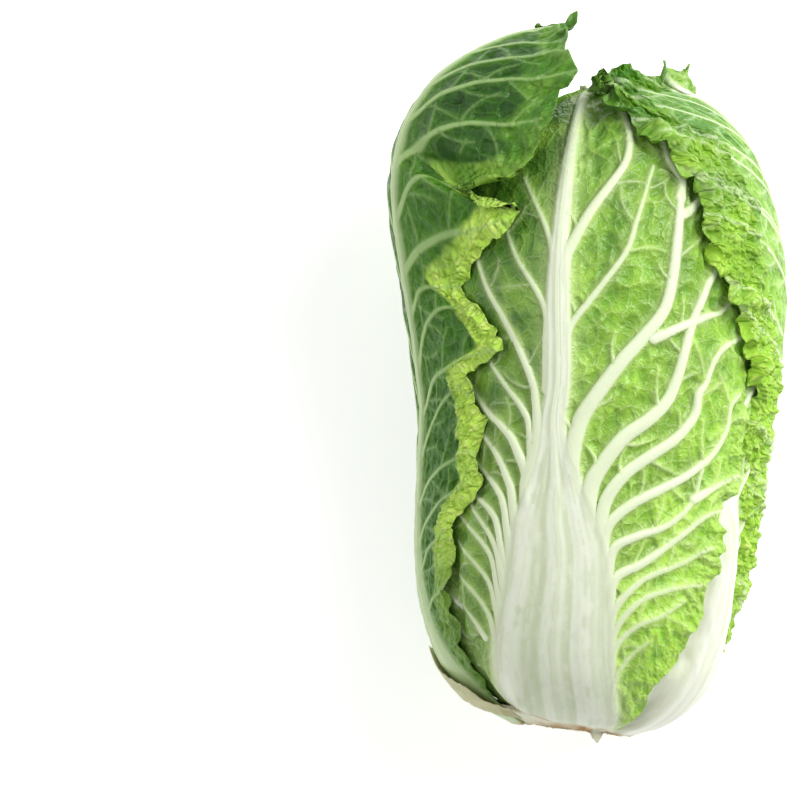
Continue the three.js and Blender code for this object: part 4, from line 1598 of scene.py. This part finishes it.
LEAVES: tuple[Leaf, ...] = (
    Leaf(
        "left_leaf_standing_off", seed=11, finish=DARK_FINISH, tip=15.5, tip_drop=1.0, rows=370, columns=210,
        left=((0, -124), (3, -128), (5, -134), (8, -136), (9, -132), (11, -126), (13, -124), (14, -120),
              (15, -98)),
        right=((0, -56), (2, -54), (3, -53), (4.2, -56), (5, -57), (6.2, -54), (6.6, -50), (7.2, -42),
               (8.3, -43), (8.75, -48), (9.15, -34), (9.6, -44), (9.9, -53), (10.5, -44), (11.1, -31),
               (11.3, -46), (11.5, -50), (11.75, -32), (12.1, -27), (13, -23), (14, -24), (15, -42)),
        midrib=((0, -92), (5, -88), (8, -76), (10, -71), (13, -68), (14, -66), (15, -60)),
        stand_off=(
            ((0, 0), (9, 0), (11, 0.07), (13, 0.2), (14, 0.3), (15, 0.42)),
            ((0, 0), (8, 0), (9, 0.07), (10, 0.2), (11, 0.35), (12, 0.44), (13, 0.47), (14, 0.47),
             (15, 0.44)),
            ((0, 0), (9, 0), (10, 0.03), (11, 0.1), (12, 0.18), (13, 0.28), (14, 0.38), (15, 0.43)),
        ),
        left_margin=Margin(
            curl=((0, 0), (5, 0.3), (15, 0.7)), ruffle=((0, 0), (5, 1.2), (15, 3.0)),
            frill=((0, 0.05), (15, 0.15)),
        ),
        right_margin=Margin(
            curl=((0, 0.0), (4, 0.1), (6.5, 0.3), (8, 0.4), (11.3, 0.5), (12.4, 0.6), (13.5, 0.6),
                  (15.5, 0.9)),
            ruffle=((0, 0), (4, 1.0), (7, 2.0), (11, 2.4), (12, 3.0), (15, 4.0)),
            frill=((0, 0), (2, 0.12), (5, 0.3), (5.7, 0.6), (6.4, 1), (10.9, 1), (11.7, 0.65),
                   (12.6, 0.4), (15.5, 0.5)),
            reach=19,
        ),
        tip_margin=Margin(
            curl=((-60, 0.7), (60, 0.7)), ruffle=((-60, 4.0), (60, 4.0)), frill=((-60, 0.4), (60, 0.4)),
            reach=14,
        ),
        stalk=((0, 34), (2, 34), (3, 30), (4, 22), (5, 16), (6, 10), (7, 6), (8, 4), (10, 2.8), (12, 2.2),
               (14, 1.4), (15, 0.8)),
        crinkle=(1.0, 1.1), crumple=(0.6, 0.7), blister=(9, 7.5), lobes=3.4, lumps=2.4, feather=19.0,
        # its tone is partly painted light: the right margin is kept light low down, where it faces away from
        # the light
        tone_and_painted_light=(
            ((0, 0.4), (8, 0.35), (12, 0.2), (16, 0.1)),
            ((0, 0.75), (3, 1), (9, 1), (10.9, 0.95), (11.7, 0.35), (13, 0.12), (16, 0.08)),
        ),
        slot="dark_leaf",
    ),
    Leaf(
        "back_right_leaf", seed=23, finish=BACK_RIGHT_FINISH, tip=15.35, tip_drop=1.1, rows=350, columns=220,
        left=((0, 95), (3, 88), (4, 81), (5, 74), (6, 68), (7, 63), (7.6, 60), (8.3, 62), (9, 53),
              (10, 39), (11, 34), (12, 29), (13, 15), (14, -12), (15, -47)),
        right=((0, 166), (2, 158), (3, 152), (8, 147), (12, 145), (14, 138), (15, 110)),
        midrib=((0, 128), (4, 122), (8, 114), (12, 100), (14, 80), (15, 45)),
        stand_off=(
            ((0, 0), (11, 0), (13, 0.03), (15, 0.06)), ((0, 0), (11, 0), (13, 0.02), (15, 0.05)),
            ((0, 0), (15, 0)),
        ),
        left_margin=Margin(
            curl=((0, 0), (2, 0), (4, -0.3), (7, -0.3), (8.5, 0.1), (10, 0.3), (13, 0.4), (15.5, 0.7)),
            ruffle=((0, 0.4), (4, 1.2), (8, 2.0), (10, 3.0), (15.5, 4.2)),
            frill=((0, 0), (1.5, 0.1), (3, 0.7), (8, 1), (15.5, 1)), reach=50,
        ),
        right_margin=Margin(curl=((0, 0), (16, 0.2)), ruffle=((0, 0), (16, 0.8))),
        tip_margin=Margin(
            curl=((-60, 1.2), (60, 1.2)), ruffle=((-60, 3.4), (60, 3.4)), frill=((-60, 1), (60, 1)), reach=18,
        ),
        crinkle=(1.2, 0.8), crumple=(0.8, 0.4), blister=(7.0, 9.0), lobes=4.2, lumps=4.2,
        # its tone is partly painted light: lighter low down, where its margin strip lies in shade, and darker
        # towards the tip
        tone_and_painted_light=(((0, 1.15), (8, 1.1), (10, 0.8), (12.5, 0.45), (14, 0.05), (16, 0.0)), ((0, 0.5), (16, 0.5))),
    ),
    Leaf(
        "underside_leaf", seed=31, finish=PALE_FINISH, rows=150, columns=96,
        left=((0, 163), (3, 157), (4, 150), (5, 138), (8, 132), (12, 132), (14, 138), (15, 156)),
        right=((0, 240), (2, 238), (4, 238), (6, 242), (8, 248), (12, 252), (14, 244), (15, 206)),
        midrib=((0, 190), (8, 184), (15, 180)),
    ),
    Leaf(
        "front_leaf", seed=47, finish=FRONT_FINISH, tip=15.4, tip_drop=1.2, rows=350, columns=224,
        left=((0, -34), (1, -36), (2, -42), (3, -46), (4, -51), (5, -54), (6, -58), (7, -66), (9, -72),
              (12, -72), (14, -64), (15, -60)),
        right=((0, 33), (3, 34), (4, 44), (5, 45.5), (6, 48.5), (7, 54), (8, 56), (10, 62), (12, 56),
               (13, 50), (14, 34), (15, -16)),
        midrib=((0, -9), (3, -10), (5, -12), (7, -14), (11, -17), (13, -21), (14, -27), (15, -40)),
        base_rise=((-1, 1.6), (-0.75, 1.1), (-0.4, 0.8), (0, 0.72), (0.5, 0.6), (1, 0.3)),
        left_margin=Margin(
            curl=((0, 0.2), (3, 0.35), (5, 0.1), (6, 0), (16, 0)), ruffle=((0, 0), (4, 0.4), (6, 0), (16, 0)),
            frill=((0, 0), (16, 0)), reach=7,
        ),
        right_margin=Margin(
            curl=((0, 0.1), (2, 0.5), (4, 0.8), (7, 0.7), (8.6, 0.3), (9.2, 0), (16, 0)),
            ruffle=((0, 0), (2, 1.2), (4, 2.6), (7, 2.6), (9, 0.8), (10, 0), (16, 0)),
            frill=((0, 0.3), (9, 0.4), (10, 0), (16, 0)), reach=13,
        ),
        tip_margin=Margin(curl=((-60, 0.5), (60, 0.3)), ruffle=((-60, 1.2), (60, 1.2)), reach=12),
        crinkle=(0.5, 1.1), crumple=(0.2, 1.1), blister=(18.0, 9.0), lobes=3.4,
        # its tone is painted light and shade: lighter right of the midrib where the light falls, darker on
        # the left and towards the upper right in the frilled leaf's shade
        tone_and_painted_light=(((0, 0.35), (6, 0.22), (10, 0.08), (14, 0.22)), ((0, 0.95), (6, 0.9), (9, 0.68), (11, 0.42),
                                                               (14, 0.3))),
        style=VeinStyle.DRAWN, drawn=FRONT_LEAF_VEINS, stalk_line=FRONT_LEAF_STALK, greening=0.3,
    ),
    Leaf(
        "left_under_leaf", seed=53, finish=PALE_FINISH, rows=190, columns=110,
        left=((0, -64), (4, -84), (6, -98), (9, -104), (12, -100), (14, -92), (15, -84)),
        right=((0, -22), (4, -16), (6, -6), (9, 4), (12, 0), (14, -12), (15, -30)),
        midrib=((0, -42), (8, -50), (15, -58)), tone_and_painted_light=(((0, 0.5), (16, 0.3)), ((0, 0.5), (16, 0.5))),
        stalk=((0, 7), (4, 7), (8, 5), (15, 1)),
    ),
    Leaf(
        "right_leaf", seed=61, finish=PALE_FINISH, rows=220, columns=130,
        left=((0, 24), (3, 22), (5, 18), (8, 8), (12, 4), (14, 10), (15, 24)),
        right=((0, 103), (3, 103), (4, 103), (6, 106), (8, 110), (12, 112), (14, 104), (15, 80)),
        midrib=((0, 57), (4, 56), (8, 52), (12, 50), (15, 50)),
        stalk=((0, 34), (2, 38), (4, 36), (5, 31), (6, 22), (7, 12), (8, 7), (10, 4.5), (13, 2.5), (15, 1)),
        tone_and_painted_light=(((0, 0.6), (16, 0.6)), ((0, 0.6), (16, 0.6))), crinkle=(0.9, 1.1), blister=(7.0, 7.0),
    ),
    Leaf(
        "back_leaf", seed=71, finish=PALE_FINISH, rows=130, columns=80,
        left=((0, 128), (3, 120), (5, 108), (8, 96), (12, 92), (14, 102), (15, 126)),
        right=((0, 186), (3, 196), (5, 208), (8, 222), (12, 226), (14, 214), (15, 190)),
        midrib=((0, 158), (15, 158)),
    ),
)


@dataclass(frozen=True)
class Crown:
    """The inner leaves whose tips show in the opening at the crown."""

    count: int = 9
    first_angle: float = 20.0
    golden_angle: float = 137.5
    start: float = 9.5  # station where they start
    tip: float = 15.5  # and where the outermost one ends
    rise: float = 0.12  # how many stations further each next one reaches
    highest: float = 16.3  # but none past this one
    spread: Pairs = ((9, 92), (13, 92), (15, 78), (16, 50))  # half their width, in degrees, at stations
    rows: int = 76
    columns: int = 76

    def leaves(self) -> list[Leaf]:
        """Makes each leaf from its number.

        Returns:
            The leaves, in the order in which they are laid.
        """
        made = []
        for number in range(self.count):
            middle = self.first_angle + number * self.golden_angle
            side = lambda sign: tuple((s, middle + sign * degrees) for s, degrees in self.spread)
            edge = Margin(curl=((9, 0), (14, 0.2), (16, 0.7)), ruffle=((9, 0), (14, 0.8), (16, 2.2)), reach=9)
            made.append(Leaf(
                f"inner_leaf_{number + 1:02d}", seed=100 + number, finish=HEART_FINISH, base=self.start,
                tip=min(self.tip + self.rise * number, self.highest), tip_drop=0.7,
                rows=self.rows, columns=self.columns,
                left=side(-1), right=side(1), midrib=((9, middle), (16, middle)),
                left_margin=edge, right_margin=edge,
                tip_margin=Margin(curl=((-60, 0.9), (60, 0.9)), ruffle=((-60, 2.4), (60, 2.4)), reach=9),
                stalk=((9, 4.5), (13, 2.6), (16, 1)), blister=(6, 6), bulk=0.5, feather=13,
                slot="inner_leaf",
            ))
        return made


# ------------------------------------------------------------------ the cut base


@dataclass(frozen=True)
class BaseFinish(Finish):
    """Cut and dried flesh at the base of the head, which has no wax left and looks dull.

    The marks are its browning, from 0 for fresh flesh to 1 for the dried rim, and its greening.
    """

    name: str
    fresh: str
    shade: str
    dried: str
    crust: str
    green: str = "#6f9a3c"
    roughness: float = 0.6
    grain: float = 1.3  # width in millimetres of the fibres
    patch: float = 6.0  # width in millimetres of the patches of colour

    def surface(self, add: Adder) -> dict[str, Any]:
        """Works out what the inputs hold: flesh that dries, and then turns to crust along its fibres.

        Args:
            add: adds a node to the material.

        Returns:
            A value or a socket for each input.
        """
        browned, greened = (
            add("Attribute", {}, "Fac", attribute_name=name) for name in ("browned", "greened")
        )
        where = add("Attribute", {}, "Vector", attribute_name="base_mm")
        patches = add("TexNoise", {"Vector": where, "Scale": 1 / self.patch, "Detail": 5.0})
        fibres = add("TexNoise", {"Vector": where, "Scale": 1 / self.grain, "Detail": 3.0})
        dry = add("Math", (add("Math", (patches, -0.5), **ADD), browned), **ADD_CLAMPED)
        crusted = add("MapRange", (add("Math", (dry, fibres), **MULTIPLY), 0.42, 0.62), **SMOOTH)
        colour = self.fresh
        coats = ((patches, self.shade), (dry, self.dried), (crusted, self.crust), (greened, self.green))
        for share, coat in coats:
            colour = add("Mix", {0: share, 6: colour, 7: coat}, MIXED, **COLOURS)
        return {
            "Base Color": colour,
            "Normal": add("Bump", {"Height": fibres, "Strength": 0.7, "Distance": 0.5 * METRES}),
            "Roughness": self.roughness,
            "IOR": 1.4,
            "Subsurface Weight": 0.1,
            "Subsurface Scale": 2 * METRES,
        }


BUTT_FINISH = BaseFinish(
    "cut_stem_flesh", fresh="#f3f1dc", shade="#dfe0bd", dried="#c9a467", crust="#7d5426",
)
COLLAR_FINISH = BaseFinish(
    "dried_leaf_scar", fresh="#f4f5e0", shade="#e4e8c8", dried="#c99a58", crust="#7a4c20",
)
STUB_FINISH = BaseFinish(
    "tough_old_leaf_stub", fresh="#dedcb4", shade="#b2b07a", dried="#c6b083", crust="#8f6c3c",
)


def base_piece(
    name: str, node: str, rows: Array, marks: dict[str, Array], closed_rows: bool, finish: BaseFinish,
    placement: Placement,
) -> bpy.types.Object:
    """Makes a piece that is turned round the stem, from a grid of points in rings.

    Args:
        name: the piece's name.
        node: the CAD node that it stands for.
        rows: points in the head's frame, one ring after another.
        marks: a value for each point under each name.
        closed_rows: whether the last ring joins the first, as on a hoop.
        finish: its finish.
        placement: where the head lies.

    Returns:
        The finished piece, dressed and riding on the body.
    """
    count, around = rows.shape[:2]
    index = np.arange(count * around).reshape(count, around)
    low = index if closed_rows else index[:-1]
    high = np.roll(index, -1, 0) if closed_rows else index[1:]
    beside = lambda grid: np.roll(grid, -1, 1)
    cells = np.stack([low, beside(low), beside(high), high], -1).reshape(-1, 4)
    piece = mesh_object(name, placement.metres(rows.reshape(-1, 3)), cells)
    write_marks(piece.data, {**marks, "base_mm": rows})
    return stand_in(piece, node, finish)


@dataclass(frozen=True)
class CutStem:
    """The stem core with its sawn face: pale flesh, a ring of fibre bundles and a browned rim.

    Attributes:
        profile: radius and place along the axis, from the middle of the face to the tip inside the head.
        fibre_ring: radius of the ring of bundles.
        saw_marks: depth in millimetres of the marks that the knife left.
    """

    profile: Pairs = (
        (0.01, -147.8), (3, -147.9), (6, -148), (9, -148), (12, -147.9), (15, -148), (17.5, -148),
        (19.6, -147.7), (20.4, -147), (20.5, -145), (19.5, -141), (18, -135.5), (15.5, -127.5), (12, -120),
        (7.5, -113.5), (3, -108), (0.01, -106.6),
    )
    fibre_ring: float = 14.5
    saw_marks: float = 0.35
    around: int = 120
    between: int = 4

    def build(self, placement: Placement) -> bpy.types.Object:
        """Makes the stem.

        Args:
            placement: where the head lies.

        Returns:
            The finished piece.
        """
        wobble = Wobble(301)
        at = np.linspace(0, len(self.profile) - 1, self.between * (len(self.profile) - 1) + 1)
        radius, y = spline(np.array(self.profile, float), at).T[..., None]
        turn = np.linspace(0, 2 * math.pi, self.around, endpoint=False)[None]
        across, up = radius * np.sin(turn), radius * np.cos(turn)
        on_face = 1 - smoothstep(18.0, 20.0, radius + 2.0 * (y + 148.0))
        y = y + on_face * self.saw_marks * wobble.layered(across / 2.2 + 0.2 * up, up / 14, 3)
        ring = np.exp(-(((radius - self.fibre_ring + wobble.at(across / 3, up / 3)) / 1.4) ** 2))
        browned = 0.4 * smoothstep(16.5, 20.0, radius) + 0.12 * ring * on_face - 0.15
        rows = HEAD.lay_down(across, y, up)
        marks = {"browned": browned + 0 * across, "greened": 0.12 * ring * on_face}
        return base_piece(
            "stem_core_cut", "stem_core", rows, marks, False, BUTT_FINISH, placement
        )


@dataclass(frozen=True)
class CutCollar:
    """The crusty ring of old leaf bases round the stem, with one white sliver of a leaf still on it.

    Attributes:
        low: place along the axis of its ragged lower rim.
        droop: how much lower the rim is on the side where the front leaf leaves it bare.
        bare: that side, in degrees, from and to.
        top: place along the axis up to which it reaches under the leaves.
        inner: its inner radius at the rim.
        under: millimetres that its outside lies within the head's outline.
        dive: how much deeper it lies at its top, where leaves cover it.
        wall: its thickness under the leaves.
        bases: how many leaf bases it is made of.
        sliver: the sliver's middle and half width in degrees, and its length in millimetres.
    """

    low: float = -145.4
    droop: float = 1.6
    bare: tuple[float, float] = (-85.0, 31.0)
    top: float = -140.0
    inner: float = 20.3
    under: float = 4.0
    dive: float = 5.5
    wall: float = 4.5
    bases: int = 9
    sliver: tuple[float, float, float] = (23.0, 6.0, 5.4)
    around: int = 240
    across_rim: int = 9
    up_wall: int = 12

    def build(self, placement: Placement) -> bpy.types.Object:
        """Makes the ring.

        Args:
            placement: where the head lies.

        Returns:
            The finished piece.
        """
        wobble = Wobble(311)
        degrees = np.linspace(-180, 180, self.around, endpoint=False)[None]
        turn = np.radians(degrees)
        place = lambda scale, shift: (5 * scale * np.cos(turn) + shift, 5 * scale * np.sin(turn) + 40)
        middle, half, length = self.sliver
        sliver = np.clip(1 - np.abs(degrees - middle) / half, 0, 1)
        bare = smoothstep(-10, 0, degrees - self.bare[0]) * (1 - smoothstep(-5, 5, degrees - self.bare[1]))
        crescents = np.abs(np.sin(turn * self.bases / 2 + 0.6 * wobble.at(*place(1, 20))))
        ragged = wobble.layered(*place(4, 60), 3)
        low = self.low - self.droop * bare - 0.9 * crescents * (1 - sliver)
        low = low + 0.6 * ragged - length * sliver**0.7

        y, radius = np.array(HEAD.outline, float).T
        share = np.linspace(0, 1, self.up_wall)[:, None] ** 1.2
        wall_y = low + (self.top - low) * share
        wall_radius = np.interp(wall_y, y, radius) - self.under - self.dive * share * (1 - bare)
        wall_radius = wall_radius + 0.5 * ragged
        lining_y = wall_y[::-1] + 1.5 * share
        lining_radius = np.maximum(wall_radius[::-1] - self.wall, self.inner)
        inward = np.linspace(0, 1, self.across_rim + 2)[1:-1, None]
        rim_radius = self.inner + (wall_radius[:1] - self.inner) * inward
        pits = wobble.layered(rim_radius / 2.5, turn * 12, 3)
        rim_y = low + 1.6 * (1 - inward) + 0.5 * pits + 0.9 * sliver * (1 - inward) * length
        radii = np.concatenate([wall_radius, lining_radius, rim_radius])
        along = np.concatenate([wall_y, lining_y, rim_y])
        rows = HEAD.lay_down(radii * np.sin(turn), along, radii * np.cos(turn))
        brown = 0.1 + 0.4 * smoothstep(-42, -18, degrees) + 0.3 * wobble.layered(*place(1.4, 90), 2)
        brown = brown - 0.9 * sliver
        brown = brown + 0.35 * smoothstep(-16, 2, degrees) * (1 - smoothstep(15, 19, degrees))
        brown = brown - 0.8 * smoothstep(1.0, 4.0, along - low)
        marks = {"browned": brown, "greened": 0.0 * along}
        return base_piece(
            "cut_leaf_bases_ragged", "cut_leaf_bases", rows, marks, True, COLLAR_FINISH, placement
        )


@dataclass(frozen=True)
class TornStub:
    """What is left of an old leaf that broke off near its base: a short, tough cup with a torn rim.

    Attributes:
        node: the CAD node that it stands for.
        left, right: degrees of its sides.
        rim: station of the torn rim, at shares of the way from left to right.
        foot: station of its foot, at the same shares.
        off: how far it stands off the head, at its foot and at its rim.
        green: how green its left side is.
    """

    node: str
    left: float
    right: float
    rim: Pairs
    foot: Pairs
    off: tuple[float, float]
    green: float
    seed: int
    thick: float = 2.2
    rows: int = 36
    columns: int = 90

    def build(self, placement: Placement) -> bpy.types.Object:
        """Makes the stub.

        Args:
            placement: where the head lies.

        Returns:
            The finished piece.
        """
        wobble = Wobble(self.seed)
        share, up = np.meshgrid(np.linspace(0, 1, self.columns + 1), np.linspace(0, 1, self.rows + 1))
        torn = 0.16 * wobble.layered(share * 14, 3.0, 3) + 0.06 * wobble.at(share * 60, 9.0)
        foot, rim = read_profile(self.foot, share), read_profile(self.rim, share) + torn
        station = foot + (rim - foot) * up
        degrees = self.left + (self.right - self.left) * share
        rib = 0.35 * wobble.at(share * 13, up * 0.8) + 0.2 * wobble.layered(share * 30, up * 6, 2)
        edge = np.minimum(share, 1 - share) * (self.right - self.left)
        thick = self.thick * (1 - 0.72 * up**2) * (0.25 + 0.75 * smoothstep(0, 7, edge))
        inner_off = self.off[0] + (self.off[1] - self.off[0]) * up**1.5
        outer = HEAD.point(station, degrees, -(inner_off + thick + rib * (1 - up)))
        inner = HEAD.point(station, degrees, -inner_off)
        piece = sheet_mesh(self.node + "_torn", outer, inner, rib, placement)
        left_edge = 1 - smoothstep(0.0, 0.12, share)
        band = smoothstep(0.5, 0.75, up) * (1 - smoothstep(0.85, 0.95, up)) * (1 - share)
        marks = {
            "browned": 0.35 * smoothstep(0.82, 1.0, up) + 0.3 * smoothstep(0.6, 1.0, share) * (1 - up) - 0.12,
            "greened": self.green * np.maximum(left_edge * smoothstep(0.2, 0.7, up), 0.35 * band),
            "base_mm": outer,
        }
        write_marks(piece.data, marks, SHEET_STEPS)
        return stand_in(piece, self.node, STUB_FINISH)


TORN_STUBS = (
    TornStub(
        "broken_leaf_stub_left", left=-108, right=-38, seed=321, off=(0.6, 2.6), green=0.9,
        rim=((0, 3.0), (0.1, 3.3), (0.2, 2.75), (0.4, 2.5), (0.6, 2.1), (0.8, 1.5), (1, 1.1)),
        foot=((0, 2.2), (0.2, 1.4), (0.5, 0.9), (0.8, 0.55), (1, 0.45)),
    ),
    TornStub(
        "broken_leaf_stub_back", left=116, right=152, seed=331, off=(0.6, 1.8), green=0.3,
        rim=((0, 1.5), (0.2, 2.1), (0.5, 2.3), (0.8, 1.9), (1, 1.4)),
        foot=((0, 0.3), (0.5, 0.15), (1, 0.3)),
    ),
)


# ------------------------------------------------------------------ studio


@dataclass(frozen=True)
class TableFinish(Finish):
    """Matt white laminate, lit a little from within so that its shadows stay faint."""

    name: str = "matt_white_laminate"
    colour: str = "#fbfbfa"
    glow: float = 0.5

    def surface(self, add: Adder) -> dict[str, Any]:
        """Works out what the inputs of the surface hold.

        Args:
            add: adds a node to the material.

        Returns:
            A value or a socket for each input.
        """
        return {
            "Base Color": self.colour, "Roughness": 0.8, "Emission Color": "#ffffff",
            "Emission Strength": self.glow,
        }


@dataclass(frozen=True)
class SoftBox:
    """One square soft light that faces the head: its place and side in metres, and its watts."""

    name: str
    place: tuple[float, float, float]
    side: float
    watts: float

    def hang(self) -> None:
        """Adds the light to the scene."""
        lamp = bpy.data.lights.new(self.name, "AREA")
        lamp.shape, lamp.size, lamp.energy = "SQUARE", self.side, self.watts
        box = bpy.data.objects.new(self.name, lamp)
        box.location = self.place
        box.rotation_mode = "QUATERNION"
        box.rotation_quaternion = Vector(-np.array(self.place)).to_track_quat("-Z", "Y")
        bpy.context.scene.collection.objects.link(box)


@dataclass(frozen=True)
class Studio:
    """A pale table under soft light, with the camera straight above.

    Attributes:
        boxes: the lights.
        sky: strength of the even white light from all round.
        camera_height: metres from the table's level to the camera.
        middle_height: metres above the table of the level that the view is sized at.
        view_width: metres that the view takes in at that level.
        view_centre: millimetres in the head's frame of the middle of the view.
        sensor: millimetres across the camera's sensor.
        clip: metres from which and up to which the camera sees.
        floor_side: metres across the table.
    """

    boxes: tuple[SoftBox, ...] = (
        SoftBox("key", (0.85, 0.62, 1.0), 1.0, 21.0), SoftBox("fill", (-0.9, 0.2, 0.9), 1.2, 4.8),
    )
    sky: float = 0.34
    camera_height: float = 4.0
    middle_height: float = 0.075
    view_width: float = 0.36815
    view_centre: tuple[float, float] = (-87.4, 4.3)
    sensor: float = 36.0
    clip: tuple[float, float] = (0.1, 20.0)
    floor_side: float = 6.0

    def build(self, placement: Placement) -> None:
        """Makes the floor, the lights, the sky and the camera.

        Args:
            placement: where the head lies.
        """
        self.lay_floor()
        for box in self.boxes:
            box.hang()
        world = bpy.data.worlds.new("pale_room")
        bpy.context.scene.world = world
        world.use_nodes = True
        feed(world.node_tree.nodes["Background"], ("#ffffff", self.sky))
        bpy.context.scene.view_settings.view_transform = "Standard"
        self.set_camera(placement)

    def lay_floor(self) -> None:
        """A matt white table top under the head."""
        half = self.floor_side / 2
        corners = np.array([(-half, -half, 0), (half, -half, 0), (half, half, 0), (-half, half, 0)], float)
        floor = mesh_object("table", corners, np.array([[0, 1, 2, 3]]))
        floor.data.materials.append(TableFinish().material())
        floor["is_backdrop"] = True

    def set_camera(self, placement: Placement) -> None:
        """Puts a long lens straight above the head, with the butt at the bottom of the view.

        Args:
            placement: where the head lies.
        """
        camera = bpy.data.cameras.new("camera")
        camera.sensor_width = self.sensor
        distance = self.camera_height - self.middle_height
        camera.lens = self.sensor * distance / self.view_width
        camera.clip_start, camera.clip_end = self.clip
        eye = bpy.data.objects.new("camera", camera)
        x, y, _ = placement.metres(np.array([*self.view_centre, 0.0]))
        eye.location = (float(x), float(y), self.camera_height)
        bpy.context.scene.collection.objects.link(eye)
        bpy.context.scene.camera = eye


# ------------------------------------------------------------------ assembly


def main() -> None:
    """Builds the head leaf by leaf, dresses what is left of the frame, and sets the studio up."""
    logging.basicConfig(level=logging.INFO, format="%(message)s")
    cad_box = [list(corner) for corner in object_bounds()]
    placement = Placement.from_stem()
    laid = LaidLeaves()
    pieces = [leaf.build(laid, placement) for leaf in (*LEAVES, *Crown().leaves())]
    pieces += [part.build(placement) for part in (CutStem(), CutCollar(), *TORN_STUBS)]
    for piece in pieces:
        LOG.info("%s: %d faces", piece.name, len(piece.data.polygons))
    tender = TenderFinish().material()
    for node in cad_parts.values():
        if not node.hide_render:
            for slot in node.material_slots:
                slot.material = tender
    Studio().build(placement)
    {"cad": cad_box, "visual": [list(corner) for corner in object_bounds()]}


if __name__ == "__main__":
    main()
